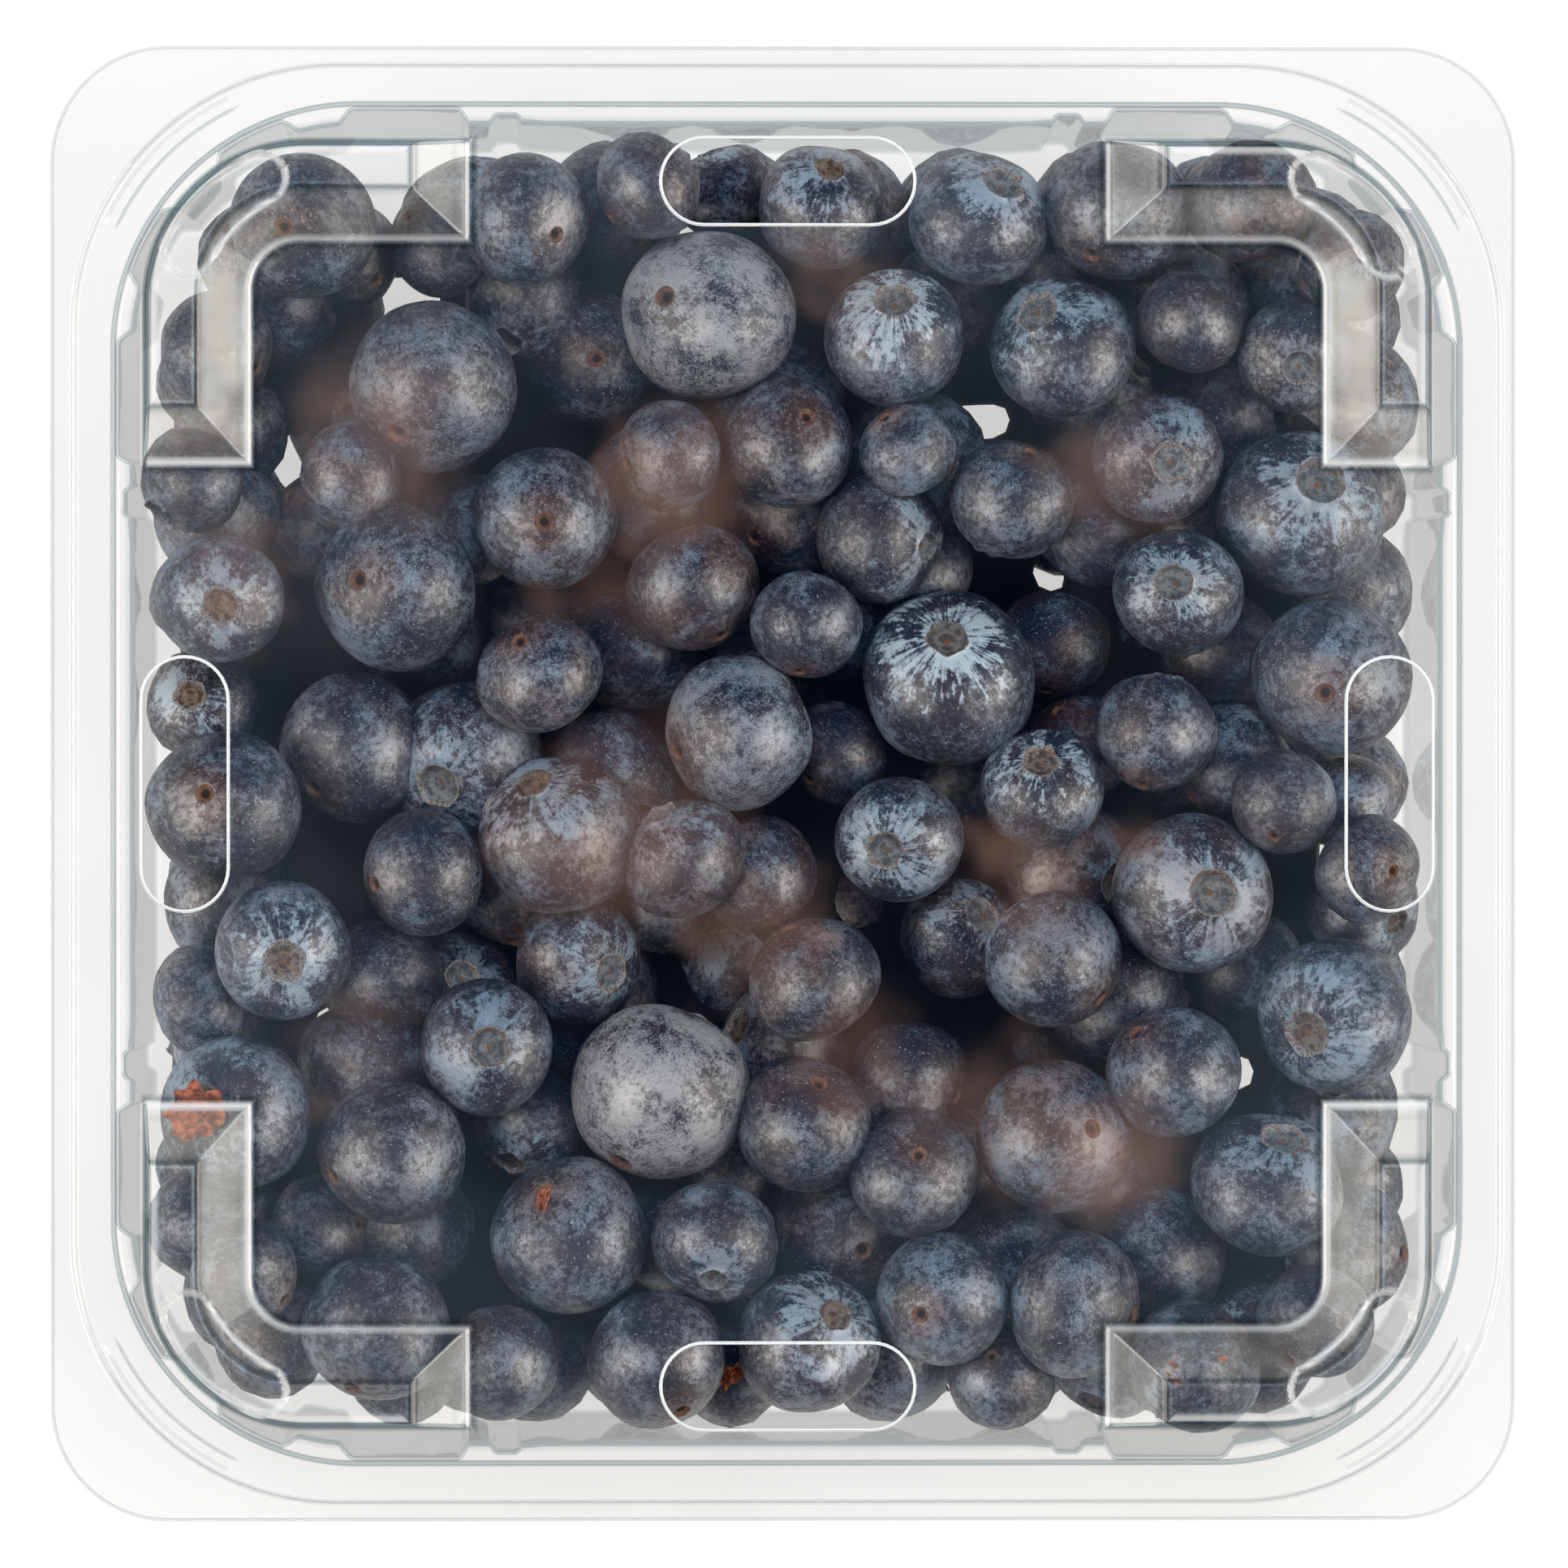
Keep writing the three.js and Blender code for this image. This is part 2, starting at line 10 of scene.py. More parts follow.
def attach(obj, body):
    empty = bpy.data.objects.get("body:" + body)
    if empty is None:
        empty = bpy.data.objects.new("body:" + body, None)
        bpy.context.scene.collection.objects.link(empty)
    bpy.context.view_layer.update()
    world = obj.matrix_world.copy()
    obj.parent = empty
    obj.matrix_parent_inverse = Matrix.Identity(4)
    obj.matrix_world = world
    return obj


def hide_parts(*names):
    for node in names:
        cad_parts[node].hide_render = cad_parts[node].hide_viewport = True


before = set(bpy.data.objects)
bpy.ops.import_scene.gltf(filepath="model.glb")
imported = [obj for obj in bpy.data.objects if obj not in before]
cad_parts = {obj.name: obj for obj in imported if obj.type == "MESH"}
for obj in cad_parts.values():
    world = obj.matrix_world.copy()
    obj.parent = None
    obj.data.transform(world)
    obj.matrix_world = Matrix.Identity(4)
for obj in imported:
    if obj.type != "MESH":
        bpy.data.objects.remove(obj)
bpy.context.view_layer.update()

MM = 0.001

# The punnet's own sizes, in millimetres, as in the solids.
FLANGE_HALF = (75.0, 75.5)
FLANGE_CORNER = 12.0
FLANGE_TOP = 36.0
TRIM_SHIFT = 0.4
MOUTH_HALF = (68.9, 69.5)
MOUTH_CORNER = 25.0
FLUTE_DEPTH = 1.5
DRAFT = 1.7
GAP = 0.3
FLOOR = 0.9
CEILING = 36.0
PANEL_TOP = 36.9
SHEET = 0.35

RIDGE_HEIGHT = 5.0
RIDGE_OUTER = 65.8
RIDGE_OUTER_CORNER = 16.6
RIDGE_INNER = (54.9, 55.5)
RIDGE_INNER_CORNER = 5.0
RIDGE_END = 32.6
PAD_CENTRE = (44.4, 44.9)
PAD_RING = 19.3
PAD_HALF_WIDTH = 2.7
PAD_REACH = (29.0, 61.0)
PAD_DEPTH = 1.3
VENT_LENGTH = 25.7
VENT_WIDTH = 8.6
VENT_OFFSET = 61.7
BEAD_HALF = (73.0, 73.5)
BEAD_CORNER = 27.0
LUG_HEIGHT = 0.35
ON_AXIS = 1e-9  # nearer to a middle plane than this is on it

# The fruit against the lid: x, y, diameter; which end shows, and how far it lies off the
# middle in radii; then how pale, how brown and how streaked the skin is.
CROWN, SCAR, SIDE = 1, -1, 0
TOP_FRUIT = [
    (-49.5, 57.5, 15.8, SCAR, -0.26, -0.06, 0.35, 0.3, 0),
    (-27.3, 58, 14.2, SCAR, 0.53, -0.3, 0.55, 0.1, 0.4),
    (2.8, 58.5, 13.8, CROWN, 0.15, 0.66, 0.15, 0.1, 0.2),
    (19.9, 57.8, 15, CROWN, 0.36, 0.6, 0.55, 0.2, 0.3),
    (35.8, 57.6, 15.4, SIDE, 0.2, 0.3, 0.35, 0.2, 0),
    (-7.4, 48.9, 19, SCAR, -0.58, 0.22, 0.95, 0, 0.1),
    (-36.2, 41.2, 18.3, SCAR, -0.43, -0.61, 0.45, 0.2, 0),
    (12, 45.2, 15, CROWN, -0.03, 0.6, 0.5, 0.2, 0.8),
    (30.1, 44.4, 15.8, CROWN, -0.46, 0.54, 0.55, 0.2, 0.3),
    (54, 46, 12.5, CROWN, 0.03, -0.24, 0.2, 0.3, 0.1),
    (-58.6, 44.7, 12.5, SIDE, -0.4, 0.2, 0.15, 0.3, 0),
    (-24.8, 27.9, 15.4, SCAR, 0.00, -0.06, 0.5, 0.2, 0),
    (-12.1, 33.3, 11.7, SIDE, 0.5, 0.1, 0.35, 0.4, 0),
    (0.7, 35.3, 14.1, SCAR, 0.3, 0.45, 0.45, 0.3, 0),
    (11.1, 33.4, 10.2, SIDE, 0.3, -0.4, 0.6, 0.2, 0.3),
    (23.3, 29.3, 12.9, SIDE, -0.2, -0.5, 0.35, 0.1, 0),
    (38.3, 33.7, 14, CROWN, 0.18, -0.09, 0.45, 0.3, 0.1),
    (53.5, 29.5, 18, CROWN, 0.17, 0.4, 0.4, 0.1, 0.3),
    (-40.8, 19.7, 17.7, SCAR, -0.48, 0.09, 0.5, 0, 0.1),
    (-58.4, 19, 13.7, CROWN, 0.05, -0.13, 0.5, 0.1, 0.3),
    (2.4, 17.1, 11.6, SIDE, 0.1, 0.6, 0.4, 0, 0),
    (40.2, 20.1, 14, CROWN, -0.12, 0.16, 0.6, 0.2, 0.4),
    (16.2, 11.7, 18.7, CROWN, -0.05, 0.51, 0.5, 0.1, 1),
    (56.3, 10.7, 17, SCAR, -0.15, -0.21, 0.4, 0, 0),
    (-26.2, 10.4, 13.3, SCAR, -0.35, 0.6, 0.45, 0.6, 0.1),
    (-4.9, 5.4, 15.8, SIDE, 0.6, 0.2, 0.8, 0.2, 0.2),
    (37.7, 5, 12.9, SIDE, 0.2, 0.7, 0.4, 0.3, 0.2),
    (26.9, -0.6, 13.3, CROWN, -0.06, 0.57, 0.5, 0.3, 0.7),
    (51.2, -3.2, 11, SIDE, 0.1, 0.3, 0.25, 0.3, 0),
    (-56.9, -1.7, 16.5, SCAR, -0.25, 0.19, 0.3, 0.2, 0),
    (-26.5, -5.4, 11.5, CROWN, -0.03, 0.8, 0.7, 0.3, 0.4),
    (12, -6.4, 13.7, CROWN, -0.27, -0.18, 0.5, 0.1, 0.4),
    (59, -8.2, 11.5, SCAR, 0.49, -0.04, 0.1, 0.4, 0),
    (41.9, -11.2, 17.4, CROWN, 0.21, 0.03, 0.65, 0.5, 0.4),
    (27.6, -18.9, 14.3, SIDE, -0.5, 0.4, 0.6, 0.2, 0.4),
    (4.2, -20.6, 13.7, SIDE, 0.3, -0.6, 0.35, 0.8, 0),
    (-51.7, -17.6, 14.8, CROWN, 0.05, -0.18, 0.55, 0.2, 0.5),
    (-31.5, -27.2, 14.5, CROWN, 0.05, 0.03, 0.4, 0.1, 0.1),
    (-12.1, -31.9, 19.1, SIDE, 0.3, 0.5, 1.00, 0.3, 0.1),
    (-56.6, -34.2, 16.6, CROWN, -0.46, 0.1, 0.55, 0.1, 0.2),
    (-39.7, -36.8, 15.4, SIDE, 0.5, 0.2, 0.4, 0.3, 0),
    (3.9, -36.3, 14.5, SCAR, 0.22, 0.68, 0.3, 0.7, 0),
    (24.6, -36.1, 16.6, SCAR, 0.5, 0.13, 0.55, 0.7, 0.1),
    (39.6, -29.7, 14.1, SIDE, 0.4, -0.4, 0.5, 0.2, 0),
    (56.6, -24.2, 16.8, CROWN, -0.49, -0.23, 0.5, 0, 0.3),
    (-22.1, -48.1, 17, SCAR, -0.37, 0.66, 0.5, 0.1, 0.1),
    (-43.4, -56.3, 15.4, SIDE, 0.2, 0.5, 0.35, 0.2, 0),
    (-55.8, -50.5, 11.6, SIDE, -0.5, 0.3, 0.3, 0.3, 0),
    (-28.7, -59, 12.4, SIDE, 0.3, -0.3, 0.3, 0.2, 0),
    (-13.8, -58.5, 14.5, SIDE, -0.2, 0.4, 0.35, 0.2, 0),
    (2.6, -57.4, 15.4, CROWN, 0.41, 0.47, 0.35, 0.1, 0.3),
    (15.9, -51, 14.3, SCAR, -0.4, -0.2, 0.65, 0, 0),
    (49.6, -42.5, 16.6, CROWN, 0.22, 0.76, 0.4, 0, 0.1),
    (31.9, -54.6, 15, SIDE, -0.5, 0.1, 0.45, 0.3, 0),
    (53.3, -56, 12.2, SIDE, 0.3, 0.4, 0.2, 0.5, 0),
]
# Fruit 30 as the eye sees it, larger than the solid one.
SWOLLEN_AT = 30
SWOLLEN = (-23.3, -5.3, 17.7, CROWN, -0.35, 0.72, 0.5, 0.6, 0.3)
# Fruit of the next layer that shows between these, in the same terms.
NEXT_FRUIT = [
    (-19.6, 43.9, 15, SCAR, 0.02, 0.00, 0.35, 0.4, 0),
    (-9.6, 20.1, 14, SIDE, -0.3, 0.5, 0.25, 0.9, 0),
    (-44.4, 3.7, 15.8, SIDE, 0.3, 0.3, 0.25, 0.1, 0),
    (-3, -9.4, 12.8, SIDE, 0.2, -0.4, 0.35, 0.8, 0),
    (-37.4, -9.1, 13, SIDE, 0.4, 0.1, 0.25, 0.1, 0),
    (-21.4, -18.4, 14, CROWN, 0.6, -0.2, 0.35, 0.5, 0.2),
    (28, 14.4, 12, SIDE, 0.1, 0.5, 0.25, 0.7, 0),
    (13.4, 22.5, 13, SCAR, -0.15, 0.45, 0.2, 0.3, 0),
    (0.2, 27.6, 12.4, SIDE, 0.3, 0.2, 0.3, 0.7, 0),
    (-58.8, 27.6, 13, SIDE, -0.2, 0.3, 0.3, 0.2, 0),
    (-48.1, 26.7, 12, SIDE, 0.3, -0.3, 0.4, 0.8, 0),
    (5.3, 3.2, 11, SIDE, 0.3, 0.3, 0.15, 0.2, 0),
    (33.2, -41.2, 12, SIDE, -0.2, 0.3, 0.35, 0.9, 0),
    (18.2, -16, 13, CROWN, 0.4, 0.45, 0.35, 0.6, 0.3),
    (-41.7, -20.3, 13, SIDE, 0.1, 0.4, 0.15, 0.1, 0),
    (12.8, -31, 13, SIDE, -0.4, 0.1, 0.15, 0.3, 0),
    (-11.8, -47.1, 13, SIDE, 0.2, 0.2, 0.15, 0.4, 0),
    (-38.5, -46, 13, SIDE, 0.4, -0.3, 0.2, 0.1, 0),
    (-46, 54.6, 12.4, SIDE, -0.3, 0.2, 0.15, 0.1, 0),
    (-35.5, 56.2, 12, SIDE, 0.3, -0.2, 0.15, 0.2, 0),
    (-52.4, 48.6, 12, SIDE, 0.2, 0.4, 0.2, 0.2, 0),
]
# Where the floor shows through the whole heap: x, y and radius.
GAPS = [
    (-40, 49.9, 2.2), (19.9, 37.9, 1.9), (-42.6, -11.1, 1), (-51.3, 32.9, 1.2),
    (-48.7, -24, 0.8), (-42, -48.3, 0.8), (27.9, 21.3, 0.45), (48.1, -30.2, 0.9),
]
# Dry scraps that lie on the fruit: x, y, z, length, width, turn and tilt in degrees.
SCRAPS = [
    (-60.2, -33.6, 35.6, 6.4, 5.6, 20, -4), (42.3, -59.9, 35.2, 6.4, 2.6, 12, 4),
    (-5.2, -61.2, 27, 3.4, 1.7, 35, 5), (-24.7, -42.6, 35.2, 2.6, 1.2, 80, 0),
]

FILL_LAYERS = (6.8, 16.2, 25.6)
FILL_PITCH = 14.4
FILL_SMALLEST = 11.0
FILL_LARGEST = 16.4
FILL_SEED = 4711
FILL_ROOM = 0.65
SETTLE_STEPS = 160
SETTLE_SINK = 0.04
SETTLE_LIFT = 0.08
FILL_ROWS = range(-4, 5)
HOMING = 0.5  # share of the way back to its place that a top fruit goes at each step
TOP_LIFT = 0.12
NEXT_DROP = 1.5
NESTLE = 0.8  # share of the depth at which a fruit would just touch those over it
SIDE_DIP = -0.28  # how far a crown at the side looks down


# ---- modelling helpers

def deselect_everything():
    if bpy.context.mode != "OBJECT":
        bpy.ops.object.mode_set(mode="OBJECT")
    bpy.ops.object.select_all(action="DESELECT")


def pick(piece):
    """Selects one piece alone and makes it the active one."""
    deselect_everything()
    piece.select_set(True)
    bpy.context.view_layer.objects.active = piece


def draw_rings(name, rings):
    """A circle drawn through rings of points, with the ring and the place of each corner."""
    deselect_everything()
    bpy.ops.mesh.primitive_circle_add(vertices=len(rings[0]), radius=rings[0][0].length)
    piece = bpy.context.object
    piece.name = piece.data.name = name
    for corner, point in zip(piece.data.vertices, rings[0]):
        corner.co = point
    places = {tuple(corner.co): (0, k) for k, corner in enumerate(piece.data.vertices)}
    open_ring = {place: k for place, (_, k) in places.items()}
    bpy.ops.object.mode_set(mode="EDIT")
    bpy.ops.mesh.select_mode(type="VERT")
    bpy.ops.mesh.select_all(action="SELECT")
    for number, ring in enumerate(rings[1:], start=1):
        bpy.ops.mesh.extrude_edges_move()
        shape = bmesh.from_edit_mesh(piece.data)
        moved = {}
        for corner in shape.verts:
            if corner.select:
                k = open_ring[tuple(corner.co)]
                corner.co = ring[k]
                moved[tuple(corner.co)] = k
        bmesh.update_edit_mesh(piece.data)
        open_ring = moved
        places.update({place: (number, k) for place, k in moved.items()})
    return piece, places


def end_edit(inside=False):
    """Turns the faces of the piece being edited one way, and ends the editing."""
    bpy.ops.mesh.select_all(action="SELECT")
    bpy.ops.mesh.normals_make_consistent(inside=inside)
    bpy.ops.object.mode_set(mode="OBJECT")


def close_to_pole(piece, points, pole):
    """Draws an open ring to one point."""
    ring = {tuple(point) for point in points}
    shape = bmesh.from_edit_mesh(piece.data)
    for corner in shape.verts:
        corner.select_set(tuple(corner.co) in ring)
    shape.select_flush(True)
    shape.select_flush(False)
    bmesh.update_edit_mesh(piece.data)
    bpy.ops.mesh.extrude_edges_move()
    bpy.ops.mesh.merge(type="CENTER")
    shape = bmesh.from_edit_mesh(piece.data)
    for corner in shape.verts:
        if corner.select:
            corner.co = pole
    bmesh.update_edit_mesh(piece.data)


def modify(piece, kind, **settings):
    """Adds a modifier with these settings and applies it."""
    added = piece.modifiers.new(kind, kind)
    for name, value in settings.items():
        setattr(added, name, value)
    pick(piece)
    bpy.ops.object.modifier_apply(modifier=added.name)


def smoother(piece):
    modify(piece, "SUBSURF", levels=1, render_levels=1)


def shade_smooth(piece, degrees):
    pick(piece)
    bpy.ops.object.shade_smooth_by_angle(angle=math.radians(degrees))


def keep_vectors(mesh, name, vectors):
    """Keeps one vector for each corner, for the materials to read."""
    layer = mesh.attributes.new(name, "FLOAT_VECTOR", "POINT")
    layer.data.foreach_set("vector", np.array(vectors, dtype=np.float32).ravel())


def mark_lines(piece, mark_at):
    """Keeps the painted highlight, painted dark line and painted reflection on the sheet at each corner,
    where it bends.
    """
    keep_vectors(piece.data, "lines", [mark_at(corner.co) for corner in piece.data.vertices])


def face_up(piece):
    """Turns the whole sheet over if its level faces look down."""
    if sum(face.normal.z * face.area for face in piece.data.polygons) < 0:
        pick(piece)
        bpy.ops.object.mode_set(mode="EDIT")
        bpy.ops.mesh.select_all(action="SELECT")
        bpy.ops.mesh.flip_normals()
        bpy.ops.object.mode_set(mode="OBJECT")


def thicken(piece, thickness, even=True):
    """Gives an open sheet its thickness on the side its faces look away from."""
    modify(piece, "SOLIDIFY", thickness=thickness, offset=-1.0, use_even_offset=even,
           use_quality_normals=True)


def dress(piece, *materials):
    """Puts the finishes in the piece's material places, in this order."""
    piece.data.materials.clear()
    for material in materials:
        piece.data.materials.append(material)


def join_pieces(name, parts):
    deselect_everything()
    for part in parts:
        part.select_set(True)
    bpy.context.view_layer.objects.active = parts[0]
    if len(parts) > 1:
        bpy.ops.object.join()
    piece = bpy.context.view_layer.objects.active
    bpy.ops.object.transform_apply(location=True, rotation=True, scale=True)
    piece.name = piece.data.name = name
    return piece


def hand_in(piece, node):
    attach(piece, "root")
    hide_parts(node)


# ---- outlines

SIDE_STEPS = [(0, 1), (27, 1), (27.9, 0.4), (29.7, 0.4), (30.6, 1), (32.6, 1), (33.8, 0), (60, 0)]
CORNER_STEPS = [(0, 0), (1.5, 0), (5.3, 1), (15.2, 1), (19, 0), (34.7, 0), (38.6, 1), (45, 1)]


def polar(x, y, radius, degrees):
    angle = math.radians(degrees)
    return x + radius * math.cos(angle), y + radius * math.sin(angle)


def ramp(value):
    """Holds a value between 0 and 1."""
    return min(1.0, max(0.0, value))


def eased(part):
    """A share from 0 to 1 that starts and ends gently."""
    return part * part * (3 - 2 * part)


def step_at(table, value):
    """A stepped table read with rounded corners."""
    for (a, step_a), (b, step_b) in zip(table, table[1:]):
        if value <= b:
            return step_a + (step_b - step_a) * eased((value - a) / (b - a))
    return table[-1][1]


def quarter_places():
    """Where the wall's corners lie: on the +X side, round the corner, and on the +Y side."""
    along = [2.25 * k for k in range(12)]
    along += [27 + 0.3 * k for k in range(1, 24)] + [34.6, 36.8, 39.2, 41.6]
    sides = [("x", a, step_at(SIDE_STEPS, a)) for a in along]
    corner = [
        ("corner", 1.25 * k, step_at(CORNER_STEPS, min(1.25 * k, 90 - 1.25 * k)))
        for k in range(73)
    ]
    return sides + corner + [("y", a, step) for _, a, step in reversed(sides)]


QUARTER = quarter_places()


def round_point(place, half, corner, flute):
    """A point of a rounded rectangle in its +X +Y quarter, at a place on the wall."""
    kind, value, step = place
    inward = step * flute * FLUTE_DEPTH
    if kind == "x":
        return half[0] - inward, value * (half[1] - corner) / (MOUTH_HALF[1] - MOUTH_CORNER)
    if kind == "y":
        return value * (half[0] - corner) / (MOUTH_HALF[0] - MOUTH_CORNER), half[1] - inward
    return polar(half[0] - corner, half[1] - corner, corner - inward, value)


def round_ring(half, corner, offset, z, shift=0.0, flute=0.0):
    """The whole outline at a height, offset outwards, as points counter-clockwise."""
    grown = (half[0] + offset, half[1] + offset)
    first = [round_point(place, grown, corner + offset, flute) for place in QUARTER]
    upper = first + [(-x, y) for x, y in reversed(first) if x > ON_AXIS]
    lower = [(x, -y) for x, y in reversed(upper) if y > ON_AXIS]
    return [Vector(((x + shift) * MM, y * MM, z * MM)) for x, y in upper + lower]


def tray_ring(offset, flute, z):
    return round_ring(MOUTH_HALF, MOUTH_CORNER, -offset, z, TRIM_SHIFT, flute)


def edge_rings(heights, inner):
    """The rounded edge of the flange or the lid, and on from it to an inner ring."""
    rings = [
        round_ring(FLANGE_HALF, FLANGE_CORNER, -offset, z)
        for offset, z in zip((0.0, 0.02, 0.12, 0.35), heights)
    ]
    return rings + [[a.lerp(b, 0.5) for a, b in zip(rings[-1], inner)], inner]


# ---- the clear tray

# Below the mouth: offset inwards, share of the flutes' depth, and height.
TRAY_PROFILE = [
    (-0.6, 0, 36.0), (-0.3, 0, 35.96), (-0.11, 0, 35.82), (-0.01, 0, 35.5), (0.04, 0, 34.9),
    (0.1, 0, 34.2), (0.13, 0, 33.95), (0.2, 0.02, 33.78), (0.27, 0.15, 33.66), (0.31, 0.45, 33.58),
    (0.34, 0.78, 33.5), (0.38, 0.95, 33.4), (0.43, 1, 33.15), (0.5, 1, 32.5), (0.62, 1, 29),
    (0.78, 1, 24.5), (0.96, 1, 20), (1.16, 1, 15), (1.36, 1, 10.5), (1.54, 1, 6.5), (1.68, 1, 3.4),
    (1.78, 1, 2.6), (1.98, 1, 1.95), (2.35, 1, 1.4), (2.9, 1, 1.02), (3.6, 1, 0.78),
    (4.6, 1, 0.63), (5.8, 1, 0.6),
]
# How dark the painted dark lines at the sheet's bends are, by ring from the flange's edge inwards and down.
TRAY_PAINTED_DARK = {0: 0.12, 1: 0.12, 8: 0.2, 9: 0.6, 10: 0.6, 11: 0.5, 16: 0.15, 17: 0.55, 18: 0.55,
             19: 0.2, 26: 0.2, 27: 0.2}


def model_tray():
    rings = edge_rings((35.66, 35.85, 35.97, FLANGE_TOP), tray_ring(-1.4, 0, FLANGE_TOP))
    rings += [tray_ring(offset, flute, z) for offset, flute, z in TRAY_PROFILE]
    tray, places = draw_rings("clear_tray", rings)
    bpy.ops.mesh.edge_face_add()
    end_edit(inside=True)
    mark_lines(tray, lambda co: (0.0, TRAY_PAINTED_DARK.get(places[tuple(co)][0], 0.0), 0.0))
    face_up(tray)
    thicken(tray, SHEET * MM)
    shade_smooth(tray, 40)
    return tray


# ---- the clear lid

ARC_STEPS = 56
ARM_PARTS = (0.0, 0.02, 0.35, 0.7)
END_BEVEL = 0.05
# A ridge's rows from its foot to its top: lean of the outer wall, rise of the inner wall,
# rise of the ends, and height.
RIDGE_FOOT = [
    (-1.0, -1.0, -1.0, 0.0), (-0.45, -0.4, -0.4, 0.0), (-0.22, -0.05, -0.05, 0.06),
    (-0.08, 0.25, 0.28, 0.24), (0.0, 0.6, 0.66, 0.56),
]
RIDGE_WALL = [
    (0.34 * part, 0.6 + 4.1 * part, 0.66 + 4.5 * part, 0.56 + 3.8 * part)
    for part in (k / 12 for k in range(1, 12))
]
RIDGE_SHOULDER = [
    (0.36, 4.95, 5.42, 4.62), (0.46, 5.22, 5.75, 4.84), (0.68, 5.5, 6.05, 4.97),
    (0.98, 5.8, 6.35, 5.0), (1.3, 6.1, 6.7, 5.0), (1.62, 6.4, 7.0, 5.0), (1.94, 6.7, 7.3, 5.0),
    (2.26, 7.0, 7.6, 5.0), (2.58, 7.3, 7.9, 5.0),
]
# How strong the painted whitish reflection on each ridge's inner walls is: on its upright arm, then on its
# level arm.
PAINTED_REFLECTION_BY_RIDGE = {(1, 1): (0.46, 0.14), (-1, 1): (0.44, 0.09), (-1, -1): (0.27, 0.02), (1, -1): (0.22, 0.10)}
# Painted dark lines and painted highlights on the ridges' walls, by row.
OUTER_PAINTED_DARK = {2: 0.35, 3: 0.8, 4: 0.25, 15: 0.25, 16: 0.85, 17: 0.65, 18: 0.25}
OUTER_PAINTED_HIGHLIGHT = {19: 0.4, 20: 0.35, 21: 0.1}
INNER_PAINTED_DARK = {1: 0.45, 6: 0.1, 16: 0.2, 17: 0.6, 18: 0.35}
INNER_PAINTED_HIGHLIGHT = {2: 0.25, 3: 0.75, 4: 0.45, 19: 0.2}
# The bead: offset outwards and height. Then the grip pads beside it, as shares of their height.
BEAD_PROFILE = [
    (0.45, 0.0), (0.33, 0.08), (0.22, 0.28), (0.11, 0.45), (0.0, 0.5), (-0.11, 0.45),
    (-0.22, 0.28), (-0.33, 0.08), (-0.45, 0.0),
]
LUG_PROFILE = [
    (-0.62, 0.0), (-0.72, 0.35), (-0.85, 0.9), (-1.1, 1.0), (-1.9, 1.0), (-2.15, 0.9),
    (-2.28, 0.35), (-2.38, 0.0),
]
# Painted dark lines along the bead and on the grip pads, by row.
BEAD_PAINTED_DARK = {0: 0.12, 1: 0.12, 8: 0.28, 12: 0.28}
LUG_PAINTED_DARK = {15: 0.3, 16: 0.3, 20: 0.3, 21: 0.3}


def ridge_loop(lean, rise, end_rise):
    """One level line round a corner ridge: along its outer wall, then back inside it."""
    outer = RIDGE_OUTER - lean
    outer_corner = RIDGE_OUTER_CORNER - lean
    outer_centre = outer - outer_corner
    inner_x, inner_y = (reach + rise for reach in RIDGE_INNER)
    inner_corner = RIDGE_INNER_CORNER + rise
    end = RIDGE_END + end_rise
    outside = [(outer, end + (outer_centre - end) * part) for part in ARM_PARTS]
    inside = [(inner_x, end + (inner_y - inner_corner - end) * part) for part in ARM_PARTS]
    for k in range(ARC_STEPS + 1):
        turn = 90 * k / ARC_STEPS
        outside.append(polar(outer_centre, outer_centre, outer_corner, turn))
        inside.append(polar(inner_x - inner_corner, inner_y - inner_corner, inner_corner, turn))
    for part in ARM_PARTS[::-1]:
        outside.append((end + (outer_centre - end) * part, outer))
        inside.append((end + (inner_x - inner_corner - end) * part, inner_y))

    def near_end(edge):
        """Two more points across one end, each close to one of its corners."""
        one, two = Vector(outside[edge]), Vector(inside[edge])
        return tuple(one.lerp(two, END_BEVEL)), tuple(two.lerp(one, END_BEVEL))

    first, last = near_end(0), near_end(-1)
    return [first[0], *outside, *last, *inside[::-1], first[1]]


def pad_away(x, y):
    """How far a place lies outside the edge of the ridge's pad."""
    angle = math.degrees(math.atan2(y - PAD_CENTRE[1], x - PAD_CENTRE[0]))
    nearest = polar(*PAD_CENTRE, PAD_RING, min(PAD_REACH[1], max(PAD_REACH[0], angle)))
    return math.hypot(x - nearest[0], y - nearest[1]) - PAD_HALF_WIDTH


def pad_sink(x, y, z):
    """The height over the panel once the ridge's pad is pressed in."""
    pad = RIDGE_HEIGHT - PAD_DEPTH
    return z if z < pad else z + (pad - z) * eased(ramp((0.05 - pad_away(x, y)) / 0.55))


